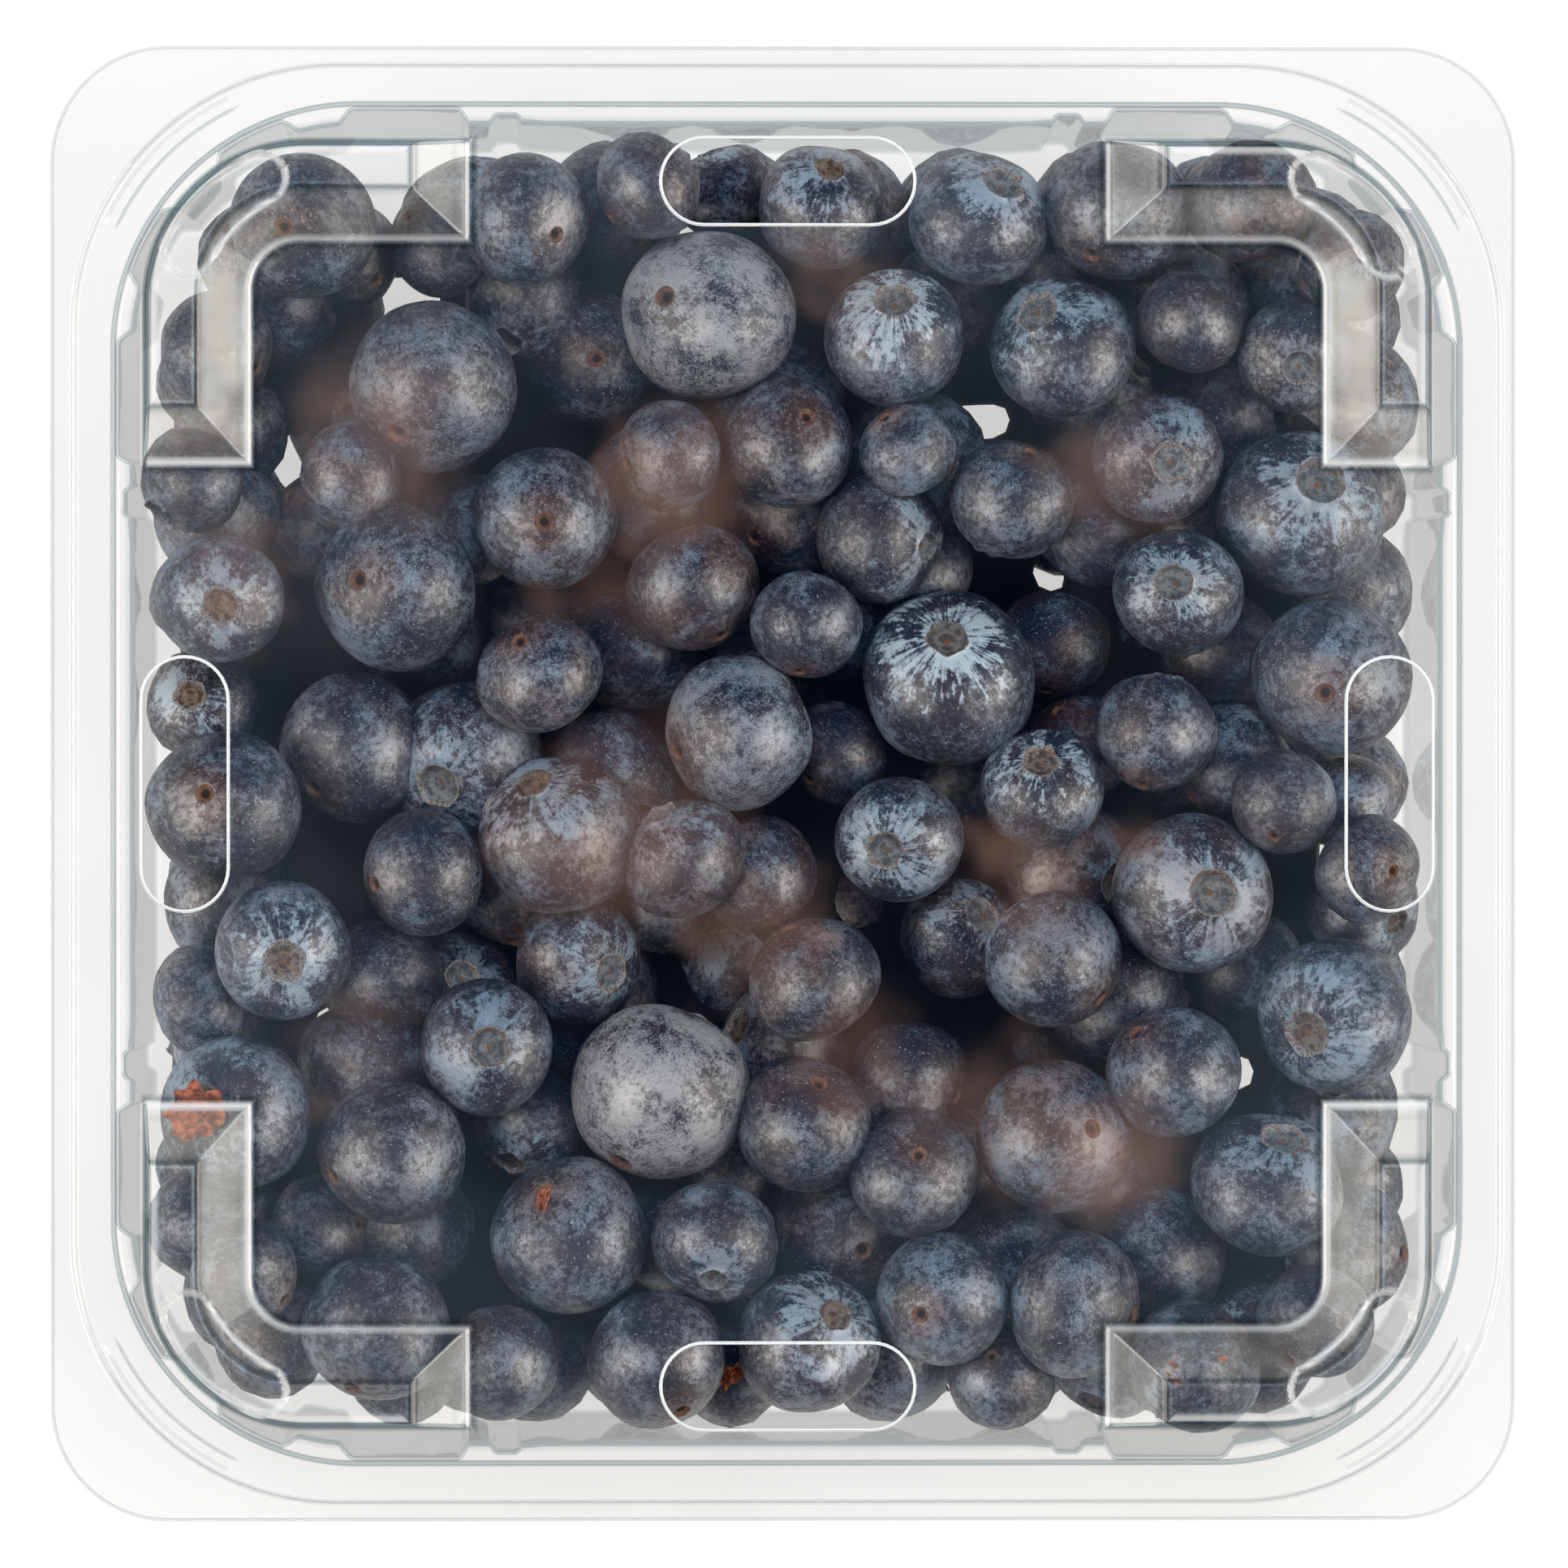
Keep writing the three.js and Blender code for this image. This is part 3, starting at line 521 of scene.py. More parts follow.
def ridge_mark(row, place, count, away, painted_reflection):
    """Painted highlight, painted dark line and painted reflection on a ridge: rows run from its foot up to
    its flat top.
    """
    outer = place < count // 2
    steps = place if outer else count - 1 - place
    last = count // 2 - 1
    level = ramp((steps - 5) / ARC_STEPS)
    # a painted highlight along the edge of the pressed-in pad, which also clears the painted dark line
    # there
    pad_line = max(0.0, 1 - abs(away + 0.2) / 0.5) if row > 12 else 0.0
    if outer and 0 < steps < last:
        white, dark, haze_and_painted_reflection = OUTER_PAINTED_HIGHLIGHT.get(row, 0.0), OUTER_PAINTED_DARK.get(row, 0.0), 0.0
    else:
        white = INNER_PAINTED_HIGHLIGHT.get(row, 0.0) * (1 - 0.5 * level)
        # painted highlight lines where the ridge's ends meet its inner walls
        if steps in (1, last - 1) and 4 < row < 17:
            white = 0.45
        dark = INNER_PAINTED_DARK.get(row, 0.0)
        # painted whitish reflection on the inner walls, stronger on the upright arm than on the level arm
        haze_and_painted_reflection = painted_reflection[0] + (painted_reflection[1] - painted_reflection[0]) * level if 4 <= row <= 17 else 0.0
        if steps in (0, last) and 4 <= row <= 17:
            haze_and_painted_reflection = 0.5 * painted_reflection[0]
    return max(white, 0.8 * pad_line), dark * (1 - pad_line), haze_and_painted_reflection


def model_ridge(sign_x, sign_y, plastic):
    """A hollow corner ridge as an open sheet, with a strip of the panel round its foot."""
    loops = []
    pads = {}
    for lean, rise, end_rise, z in RIDGE_FOOT + RIDGE_WALL + RIDGE_SHOULDER:
        loop = []
        for x, y in ridge_loop(lean, rise, end_rise):
            pads[len(loops), len(loop)] = pad_away(x, y)
            height = PANEL_TOP + pad_sink(x, y, z)
            loop.append(Vector(((sign_x * x + TRIM_SHIFT) * MM, sign_y * y * MM, height * MM)))
        loops.append(loop)
    ridge, places = draw_rings("ridge", loops)
    bpy.ops.object.mode_set(mode="OBJECT")
    count = len(loops[-1])
    # how strong the painted reflection is on this ridge's inner walls
    painted_reflection = PAINTED_REFLECTION_BY_RIDGE[sign_x, sign_y]

    def mark(co):
        place = places[tuple(co)]
        return ridge_mark(*place, count, pads[place], painted_reflection)

    mark_lines(ridge, mark)
    shape = bmesh.new()
    shape.from_mesh(ridge.data)
    last = {tuple(point): k for k, point in enumerate(loops[-1])}
    found = {last[tuple(corner.co)]: corner for corner in shape.verts if tuple(corner.co) in last}
    side = count // 2
    for k in range(1, side - 2):
        face = [found[k], found[k + 1], found[count - 2 - k], found[count - 1 - k]]
        if k == 1:
            face += [found[count - 1], found[0]]
        if k == side - 3:
            face[2:2] = [found[side - 1], found[side]]
        shape.faces.new(face)
    shape.to_mesh(ridge.data)
    shape.free()
    dress(ridge, plastic)
    return ridge


def vent_loop(turn, spare, z):
    """A slot with round ends at one side of the lid, at a distance from the cut."""
    points = [
        polar(side * (VENT_LENGTH - VENT_WIDTH) / 2, 0, VENT_WIDTH / 2 + spare, start + 10 * k)
        for side, start in ((1, -90), (-1, 90)) for k in range(19)
    ]
    around = Matrix.Rotation(math.radians(90 * turn), 4, "Z")
    return [
        around @ Vector((x * MM, (y + VENT_OFFSET) * MM, z * MM)) + Vector((TRIM_SHIFT * MM, 0, 0))
        for x, y in points
    ]


def model_vent(turn, finishes):
    """A vent's edge: its rolled lip and a strip of the panel round it."""
    lip = ((0.9, 0), (0.17, 0), (0.10, 0.01), (0.03, 0.06), (0.0, 0.17))
    loops = [vent_loop(turn, spare, PANEL_TOP - drop) for spare, drop in lip]
    vent, places = draw_rings("vent", loops)
    bpy.ops.object.mode_set(mode="OBJECT")
    dress(vent, *finishes)
    mark_lines(vent, lambda co: (0.0, 0.0, 0.0))
    for face in vent.data.polygons:
        numbers = [places[tuple(vent.data.vertices[k].co)][0] for k in face.vertices]
        face.material_index = 1 if min(numbers) >= 1 else 0
    return vent


def bead_ring(offset, rise=0.0):
    return round_ring(BEAD_HALF, BEAD_CORNER, offset, PANEL_TOP + rise, TRIM_SHIFT)


def lug_ring(offset, part):
    """A line beside the bead that rises where the grip pads are, at the four corners."""
    points = []
    for point in bead_ring(offset):
        x = abs(point.x / MM - TRIM_SHIFT) - (BEAD_HALF[0] - BEAD_CORNER)
        y = abs(point.y / MM) - (BEAD_HALF[1] - BEAD_CORNER)
        turn = abs(math.degrees(math.atan2(y, x)) - 45) if x > 0 and y > 0 else 90
        rise = LUG_HEIGHT * MM * part * ramp((20.5 - turn) / 1.6)
        points.append(Vector((point.x, point.y, point.z + rise)))
    return points


def model_rim(plastic):
    """The lid's edge, bead and grip pads, up to a strip of the panel inside them."""
    rings = edge_rings((36.58, 36.76, 36.87, PANEL_TOP), bead_ring(0.75))
    rings += [bead_ring(offset, z) for offset, z in BEAD_PROFILE]
    rings += [lug_ring(offset, part) for offset, part in LUG_PROFILE] + [bead_ring(-2.9)]
    rim, places = draw_rings("lid_rim", rings)
    bpy.ops.object.mode_set(mode="OBJECT")
    dress(rim, plastic)

    def mark(co):
        row = places[tuple(co)][0]
        raised = row > 14 and co.z > (PANEL_TOP + 0.05) * MM
        return 0.0, (LUG_PAINTED_DARK if raised else BEAD_PAINTED_DARK).get(row, 0.0), 0.0

    mark_lines(rim, mark)
    return rim


def model_lid(plastic, cut_edge):
    parts = [model_rim(plastic)]
    parts += [model_ridge(sx, sy, plastic) for sx in (1, -1) for sy in (1, -1)]
    parts += [model_vent(turn, (plastic, cut_edge)) for turn in range(4)]
    lid = join_pieces("clear_lid", parts)
    bpy.ops.object.mode_set(mode="EDIT")
    bpy.ops.mesh.select_mode(type="EDGE")
    shape = bmesh.from_edit_mesh(lid.data)
    for edge in shape.edges:
        flat = all(abs(corner.co.z - PANEL_TOP * MM) < 1e-6 for corner in edge.verts)
        edge.select_set(edge.is_boundary and flat)
    bmesh.update_edit_mesh(lid.data)
    bpy.ops.mesh.fill(use_beauty=True)
    end_edit()
    face_up(lid)
    thicken(lid, SHEET * MM)
    shade_smooth(lid, 40)
    return lid


# ---- the fruit

# How a crown stands: radius and height of its lobes' tips, then of the notches between
# them, then the radius and depth of the bowl inside.
STYLES = {
    "open": ((0.34, 0.018), (0.28, 0.004), 0.245, 0.045),
    "upright": ((0.30, 0.075), (0.275, 0.015), 0.235, 0.090),
    "shut": ((0.22, 0.050), (0.25, 0.030), 0.185, 0.050),
    "ragged": ((0.34, 0.055), (0.26, -0.010), 0.230, 0.080),
}
# The model fruits: crown, seed, and height as a share of the width.
FINE_FRUIT = [("open", 1, 0.86), ("upright", 2, 0.88), ("shut", 3, 0.9), ("ragged", 4, 0.87)]
PLAIN_FRUIT = [("open", 5, 0.86), ("upright", 6, 0.89), ("shut", 7, 0.88)]
KINDS = ("crowned_fruit", "scarred_fruit", "sideways_fruit", "side_fruit", "lower_fruit")
SHOULDER = 0.92  # below 1 a fruit's shoulders are fuller than an egg's
CROWN_RINGS = 7  # rings of a fruit that have the crown's finish, and the scar's
SCAR_RINGS = 4


def fruit_rings(style, seed, segments, height):
    """Rings of a fruit of radius 1, from its stem scar up to the middle of its crown."""
    tip, notch, bowl, depth = STYLES[style]
    drift = Vector((seed * 7.3, seed * 3.1, seed * 5.7))
    wildness = 1.3 if style == "ragged" else 0.6

    def surface(radius):
        """The skin's height at a distance from the axis."""
        return height * math.cos(math.asin(min(1.0, radius))) ** SHOULDER

    def lobe(k):
        """How far one place round the crown belongs to a lobe's tip."""
        wave = 0.5 + 0.5 * math.cos(5 * 2 * math.pi * k / segments)
        return ramp(wave + wildness * noise.noise(Vector((k * 0.9, seed * 2.2, 0))))

    def ring(radius, z):
        points = []
        for k in range(segments):
            turn = 2 * math.pi * k / segments
            r = radius(k) if callable(radius) else radius
            h = z(k) if callable(z) else z
            point = Vector((r * math.cos(turn), r * math.sin(turn), h))
            heading = point.normalized()
            lump = 1 + 0.075 * noise.noise(heading * 1.2 + drift)
            lump += 0.022 * noise.noise(heading * 2.9 + drift)
            points.append(point * lump)
        return points

    def mix(a, b):
        return lambda k: b + (a - b) * lobe(k)

    foot = -surface(0.13)
    rings = [
        ring(0.045, foot + 0.050), ring(0.08, foot + 0.040), ring(0.10, foot + 0.010),
        ring(0.125, foot - 0.004), ring(0.16, foot + 0.006), ring(0.25, 0.006 - surface(0.25)),
    ]
    for degrees in (153, 140, 125, 108, 90, 72, 55, 42, 32, 25):
        angle = math.radians(degrees)
        level = math.cos(angle)
        rings.append(ring(math.sin(angle), height * math.copysign(abs(level) ** SHOULDER, level)))
    top = surface(0.31)
    lips = mix(top + tip[1], top + notch[1])
    return rings + [
        ring(mix(0.37, 0.34), mix(top - 0.012, top - 0.008)),
        ring(mix(tip[0] + 0.005, notch[0] + 0.03), mix(top + tip[1] * 0.5, top - 0.004)),
        ring(mix(tip[0], notch[0] + 0.01), lips),
        ring(mix(tip[0] - 0.025, notch[0] - 0.006), lips),
        ring(mix(bowl + 0.012, bowl + 0.004), top - depth * 0.3),
        ring(bowl - 0.01, top - depth),
        ring(bowl - 0.05, top - depth - 0.012),
        ring(bowl * 0.45, top - depth - 0.005),
        ring(0.045, top - depth - 0.012),
    ]


def model_fruit(style, seed, segments, fine, height, finishes):
    """One whole fruit of radius 1 with its crown at +Z and its stem scar at -Z."""
    rings = fruit_rings(style, seed, segments, height)
    fruit, places = draw_rings("fruit_" + style, rings)
    close_to_pole(fruit, rings[-1], Vector((0, 0, rings[-1][0].z + 0.012)))
    close_to_pole(fruit, rings[0], Vector((0, 0, rings[0][0].z + 0.01)))
    end_edit()
    mesh = fruit.data
    dress(fruit, *finishes)
    number = [places.get(tuple(corner.co), (None, 0))[0] for corner in mesh.vertices]
    for face in mesh.polygons:
        known = [number[k] for k in face.vertices if number[k] is not None]
        if min(known) >= len(rings) - CROWN_RINGS:
            face.material_index = 1
        elif max(known) < SCAR_RINGS:
            face.material_index = 2
        face.use_smooth = True
    keep_vectors(mesh, "own_place", [corner.co for corner in mesh.vertices])
    if fine:
        smoother(fruit)
    return fruit


def draws_from(seed):
    state = seed
    while True:
        state = (state * 16807) % 2147483647
        yield state / 2147483647


def hold_in_tray(fruit):
    """Keeps a fruit inside the wall, the floor, the lid and the rounded corners."""
    inset = FLUTE_DEPTH + GAP + DRAFT * (1 - fruit[2] / FLANGE_TOP) + fruit[3]
    bend = MOUTH_CORNER - inset
    limits = [half - inset for half in MOUTH_HALF]
    over = []
    for axis, limit in enumerate(limits):
        fruit[axis] = min(limit, max(-limit, fruit[axis]))
        over.append(abs(fruit[axis]) - (limit - bend))
    fruit[2] = min(CEILING - fruit[3], max(FLOOR + fruit[3], fruit[2]))
    reach = math.sqrt(over[0] * over[0] + over[1] * over[1])
    if min(over) > 0 and reach > bend:
        for axis, limit in enumerate(limits):
            fruit[axis] = math.copysign(limit - bend + (over[axis] * bend) / reach, fruit[axis])


def push_apart(one, two):
    dx, dy, dz = two[0] - one[0], two[1] - one[1], two[2] - one[2]
    touch = one[3] + two[3]
    square = dx * dx + dy * dy + dz * dz
    if square < touch * touch:
        distance = math.sqrt(square) + 1e-6
        push = (0.5 * (touch - distance)) / distance
        for axis, step in enumerate((dx, dy, dz)):
            one[axis] -= step * push
            two[axis] += step * push


def crowded(other, fruit):
    """True where two fruits lie nearer than the fill allows."""
    dx, dy, dz = other[0] - fruit[0], other[1] - fruit[1], other[2] - fruit[2]
    room = FILL_ROOM * (other[3] + fruit[3])
    return dx * dx + dy * dy + dz * dz < room * room


def against_lid(x, y, diameter, *_):
    """A fruit of the heap that touches the lid, as [x, y, z, radius, pull]."""
    return [x, y, CEILING - diameter / 2, diameter / 2, 0.0]


def pack_fruit():
    """Each fruit as [x, y, z, radius, pull]: the placed top layer, then the fruit below it."""
    draw = draws_from(FILL_SEED)
    fruits = [against_lid(*known) for known in TOP_FRUIT]
    for fruit in fruits:
        hold_in_tray(fruit)
    homes = [(fruit[0], fruit[1]) for fruit in fruits]
    placed = len(fruits)
    for height in FILL_LAYERS:
        pull = -SETTLE_SINK if height == FILL_LAYERS[0] else SETTLE_LIFT
        for row in FILL_ROWS:
            for column in FILL_ROWS:
                x = FILL_PITCH * (column + 0.5 * (next(draw) - 0.5))
                y = FILL_PITCH * (row + 0.5 * (next(draw) - 0.5))
                r = (FILL_SMALLEST + (FILL_LARGEST - FILL_SMALLEST) * next(draw)) / 2
                fruit = [x, y, height, r, pull]
                hold_in_tray(fruit)
                if not any(crowded(other, fruit) for other in fruits[:placed]):
                    fruits.append(fruit)
    for _ in range(SETTLE_STEPS):
        for fruit, home in zip(fruits, homes):
            fruit[0] += (home[0] - fruit[0]) * HOMING
            fruit[1] += (home[1] - fruit[1]) * HOMING
            fruit[2] += TOP_LIFT
        for fruit in fruits[placed:]:
            fruit[2] += fruit[4]
        for i, one in enumerate(fruits):
            for two in fruits[i + 1:]:
                push_apart(one, two)
        for fruit in fruits:
            hold_in_tray(fruit)
    for fruit in fruits[placed:]:
        leave_gaps(fruit)
    return fruits


def leave_gaps(fruit):
    """Nudges a lower fruit out of the gaps, by a few millimetres at most."""
    for x, y, radius in GAPS:
        away = math.hypot(fruit[0] - x, fruit[1] - y)
        nudge = min(2.0 + 2.5 * radius, 1.04 * fruit[3] + 0.6 * radius - away)
        if nudge > 0:
            fruit[0] += (fruit[0] - x) * nudge / away
            fruit[1] += (fruit[1] - y) * nudge / away
    hold_in_tray(fruit)


def next_layer(fruits):
    """The fruit of the next layer, each lowered till it lies under those over it."""
    layer = []
    for x, y, diameter, *_ in NEXT_FRUIT:
        radius = diameter / 2
        height = CEILING - radius - NEXT_DROP
        for other in fruits[:len(TOP_FRUIT)]:
            reach = other[3] + radius
            away = math.hypot(other[0] - x, other[1] - y)
            if away < reach:
                under = NESTLE * math.sqrt(reach * reach - away * away)
                height = min(height, other[2] - under)
        layer.append([x, y, height, radius, 0.0])
        hold_in_tray(layer[-1])
    return layer


def turned_to(axis, spin):
    """A turn that takes a fruit's crown to the axis, after a spin about itself."""
    return axis.to_track_quat("Z", "Y").to_matrix().to_4x4() @ Matrix.Rotation(spin, 4, "Z")


def place_copy(template, fruit, turn, squeeze, tone, chance):
    """A copy of a fruit with its own mesh, in its place in the heap."""
    copy = template.copy()
    copy.data = template.data.copy()
    bpy.context.collection.objects.link(copy)
    x, y, z, r, _ = fruit
    place = Matrix.Translation(((x + TRIM_SHIFT) * MM, y * MM, z * MM))
    copy.matrix_world = place @ turn @ Matrix.Diagonal((*(r * MM * s for s in squeeze), 1))
    count = len(copy.data.vertices)
    keep_vectors(copy.data, "tone", [tone] * count)
    keep_vectors(copy.data, "drift", [[chance.uniform(-40, 40) for _ in range(3)]] * count)
    return copy


def placed_look(fruit_entry, k, fine):
    """Kind, model, crown direction, tone and growth of a fruit whose place is listed."""
    _, _, _, end, across, up, *tone = fruit_entry
    if end == SIDE:
        axis = Vector((across, up, SIDE_DIP)).normalized()
        return "sideways_fruit", fine[1 + k % 3], axis, tone, 1.03
    level = math.sqrt(max(0.0, 1 - across * across - up * up))
    kind = "crowned_fruit" if end == CROWN else "scarred_fruit"
    return kind, fine[k % 4], Vector((across, up, level)) * end, tone, 1.0


def filled_look(fruit, k, plain, chance):
    """The same for a fruit below them, drawn by chance."""
    axis = Vector([chance.gauss(0, 1) for _ in range(3)]).normalized()
    wall = min(MOUTH_HALF[0] - abs(fruit[0]), MOUTH_HALF[1] - abs(fruit[1]))
    tone = (chance.uniform(0.1, 0.55), chance.random() ** 2, chance.random() ** 2 * 0.5)
    if wall < fruit[3] + 7:
        return "side_fruit", plain[k % 3], axis, tone, 0.99
    grown = 1.045 if fruit[2] > fruit[3] + 2.5 else 0.99
    return "lower_fruit", plain[k % 3], axis, tone, grown


def model_heap(finishes):
    """All the fruit, joined by kind."""
    chance = random.Random(20)
    fine = [model_fruit(style, seed, 25, True, height, finishes) for style, seed, height in FINE_FRUIT]
    plain = [model_fruit(style, seed, 20, False, height, finishes) for style, seed, height in PLAIN_FRUIT]
    kinds = {kind: [] for kind in KINDS}
    fruits = pack_fruit()
    layer = next_layer(fruits)
    placed = len(TOP_FRUIT)
    lower = [fruit for fruit in fruits[placed:] if not any(crowded(one, fruit) for one in layer)]
    fruits[SWOLLEN_AT] = against_lid(*SWOLLEN)
    known = TOP_FRUIT[:SWOLLEN_AT] + [SWOLLEN] + TOP_FRUIT[SWOLLEN_AT + 1:] + NEXT_FRUIT
    for k, fruit in enumerate(fruits[:placed] + layer + lower):
        if k < len(known):
            kind, template, axis, tone, grown = placed_look(known[k], k, fine)
        else:
            kind, template, axis, tone, grown = filled_look(fruit, k, plain, chance)
        wide = grown * chance.uniform(0.97, 1.02)
        squeeze = (wide, 2 * grown - wide - chance.uniform(0, 0.04), grown * chance.uniform(0.95, 1.04))
        turn = turned_to(axis, chance.uniform(0, 2 * math.pi))
        kinds[kind].append(place_copy(template, fruit, turn, squeeze, tone, chance))
    for template in fine + plain:
        bpy.data.objects.remove(template)
    return [join_pieces(kind, copies) for kind, copies in kinds.items()]


# ---- what lies between and on the fruit

CORE_HALF = 56.0
CORE_CORNER = 18.0
CORE_MIDDLE = 11
CORE_HEIGHT = 7
LUMPS = 2.2
PASSAGE = 1.7  # how wide the core opens at a gap, in the gap's radii


def open_core(core, x, y, radius):
    """A passage straight down through the core at one place."""
    bpy.ops.object.mode_set(mode="EDIT")
    bpy.ops.mesh.select_mode(type="FACE")
    shape = bmesh.from_edit_mesh(core.data)
    place = Vector((x + TRIM_SHIFT, y)) * MM
    for face in shape.faces:
        face.select_set(False)
    for way in (1, -1):
        away = {
            face: (face.calc_center_median().xy - place).length
            for face in shape.faces if face.normal.z * way > 0.9
        }
        wide = max(min(away.values()), PASSAGE * radius * MM)
        for face, distance in away.items():
            if distance <= wide:
                face.select_set(True)
    bmesh.update_edit_mesh(core.data)
    bpy.ops.mesh.delete(type="FACE")
    bpy.ops.mesh.select_mode(type="EDGE")
    shape = bmesh.from_edit_mesh(core.data)
    for edge in shape.edges:
        edge.select_set(edge.is_boundary)
    bmesh.update_edit_mesh(core.data)
    bpy.ops.mesh.bridge_edge_loops()
    bpy.ops.object.mode_set(mode="OBJECT")


def model_core():
    """What the heap closes in: a lumpy mass between the lower fruit, near black as painted shade for the
    heap's shaded depth.
    """
    deselect_everything()
    bpy.ops.mesh.primitive_cube_add(size=1, location=(TRIM_SHIFT * MM, 0, CORE_MIDDLE * MM))
    core = bpy.context.object
    core.name = core.data.name = "heap_core"
    bpy.ops.object.mode_set(mode="EDIT")
    bpy.ops.mesh.select_all(action="SELECT")
    bpy.ops.transform.resize(value=(2 * CORE_HALF * MM, 2 * CORE_HALF * MM, CORE_HEIGHT * MM))
    bpy.ops.mesh.subdivide(number_cuts=33)
    bpy.ops.object.mode_set(mode="OBJECT")
    bpy.ops.object.transform_apply(location=True, rotation=True, scale=True)
    for x, y, radius in GAPS:
        open_core(core, x, y, radius)
    for corner in core.data.vertices:
        over = Vector((corner.co.x - TRIM_SHIFT * MM, corner.co.y))
        beyond = Vector([max(0.0, abs(value) - (CORE_HALF - CORE_CORNER) * MM) for value in over])
        if beyond.length > CORE_CORNER * MM:
            spare = beyond - beyond * (CORE_CORNER * MM / beyond.length)
            corner.co.x -= math.copysign(spare.x, over.x)
            corner.co.y -= math.copysign(spare.y, over.y)
        place = corner.co * 90
        corner.co += Vector([noise.noise(place + Vector((0, 0, 9.1 * k))) for k in range(3)]) * LUMPS * MM
    smoother(core)
    shade_smooth(core, 180)
    return core


def model_scraps():
    """Dry calyx and leaf scraps: small crumpled sheets with ragged edges."""
    scraps = []
    for k, (x, y, z, length, width, turn, tilt) in enumerate(SCRAPS):
        deselect_everything()
        bpy.ops.mesh.primitive_grid_add(x_subdivisions=11, y_subdivisions=9, size=1)
        scrap = bpy.context.object
        for corner in scrap.data.vertices:
            from_middle = corner.co.length
            ragged = 1 + 0.5 * noise.noise(corner.co.normalized() * 2.3 + Vector((k * 3.7, 1, 5)))
            corner.co *= ragged * (1.15 - 0.45 * from_middle)
            crumple = noise.noise(Vector((corner.co.x * 4.5, corner.co.y * 4.5, k * 2.9)))
            corner.co = Vector((corner.co.x * length, corner.co.y * width, 1.1 * crumple)) * MM
        thicken(scrap, 0.2 * MM, even=False)
        shade_smooth(scrap, 50)
        scrap.matrix_world = (Matrix.Translation((x * MM, y * MM, z * MM))
                              @ Matrix.Rotation(math.radians(turn), 4, "Z")
                              @ Matrix.Rotation(math.radians(tilt), 4, "Y"))
        scraps.append(scrap)
    return join_pieces("dry_scraps", scraps)


# ---- materials

class Board:
    """Short ways to add and join nodes in one tree."""

    def __init__(self, tree):
        self.tree = tree

    def give(self, socket, value):
        if isinstance(value, bpy.types.NodeSocket):
            self.tree.links.new(value, socket)
        else:
            socket.default_value = value

    def node(self, kind, settings=None, **inputs):
        made = self.tree.nodes.new(kind)
        for name, value in (settings or {}).items():
            setattr(made, name, value)
        for name, value in inputs.items():
            self.give(made.inputs[name.replace("_", " ")], value)
        return made

    def give_all(self, sockets, values):
        for socket, value in zip(sockets, values):
            self.give(socket, value)

    def ordered(self, kind, settings, *values):
        """A node whose inputs are given by their order."""
        made = self.node(kind, settings)
        self.give_all(made.inputs, values)
        return made

    def math(self, operation, a, b=0.0, clamp=False):
        return self.ordered("ShaderNodeMath", {"operation": operation, "use_clamp": clamp}, a, b).outputs[0]

    def add(self, a, b, clamp=False):
        return self.math("ADD", a, b, clamp)

    def times(self, a, b):
        return self.math("MULTIPLY", a, b)

    def swing(self, value, size):
        """A pattern that runs round 0 instead of round a half, at a size."""
        return self.times(self.math("SUBTRACT", value, 0.5), size)

    def vector(self, operation, *values):
        made = self.ordered("ShaderNodeVectorMath", {"operation": operation}, *values)
        return made.outputs["Value" if operation in ("LENGTH", "DISTANCE") else "Vector"]

    def parts(self, vector):
        return self.node("ShaderNodeSeparateXYZ", None, Vector=vector).outputs

    def blend(self, factor, a, b):
        made = self.node("ShaderNodeMix", {"data_type": "RGBA"})
        for k, value in ((0, factor), (6, a), (7, b)):
            self.give(made.inputs[k], value)
        return made.outputs[2]

    def clouds(self, place, scale, detail=3.0, rough=0.55):
        """The grey and the coloured noise of one noise texture."""
        return self.node("ShaderNodeTexNoise", None, Vector=place, Scale=scale, Detail=detail,
                         Roughness=rough).outputs

    def fog(self, *settings):
        return self.clouds(*settings)[0]

    def spread(self, value, low, high, to_low=0.0, to_high=1.0):
        return self.ordered("ShaderNodeMapRange", {"interpolation_type": "SMOOTHSTEP"},
                            value, low, high, to_low, to_high).outputs[0]

    def mixed(self, factor, one, two):
        return self.ordered("ShaderNodeMixShader", None, factor, one.outputs[0], two.outputs[0])

    def here(self):
        return self.node("ShaderNodeTexCoord").outputs["Object"]

    def attribute(self, name):
        return self.node("ShaderNodeAttribute", {"attribute_name": name}).outputs["Vector"]

    def bump(self, strength, distance, height):
        made = self.node("ShaderNodeBump", None, Strength=strength, Distance=distance, Height=height)
        return made.outputs[0]

    def close(self, shader):
        """Hands the shader to the material's output."""
        self.give(self.node("ShaderNodeOutputMaterial").inputs[0], shader.outputs[0])

    def finish(self, **sockets):
        """Ends the material in one Principled shader."""
        self.close(self.node("ShaderNodeBsdfPrincipled", None, **sockets))


def new_group(name, inputs, outputs):
    """A group with these sockets, its board, what it is given and what it puts out."""
    group = bpy.data.node_groups.new(name, "ShaderNodeTree")
    for way, labels in (("INPUT", inputs), ("OUTPUT", outputs)):
        for label, kind in labels:
            group.interface.new_socket(label, in_out=way, socket_type="NodeSocket" + kind)
    given, result = group.nodes.new("NodeGroupInput"), group.nodes.new("NodeGroupOutput")
    return group, Board(group), given.outputs, result.inputs


def new_material(name):
    material = bpy.data.materials.new(name)
    material.use_nodes = True
    material.node_tree.nodes.clear()
    return material, Board(material.node_tree)


def rgb(r, g, b):
    return (r, g, b, 1.0)


def from_axis(board, own):
    """How far a place on a fruit lies from its axis."""
    return board.math("SQRT", board.add(board.times(own[0], own[0]), board.times(own[1], own[1])))


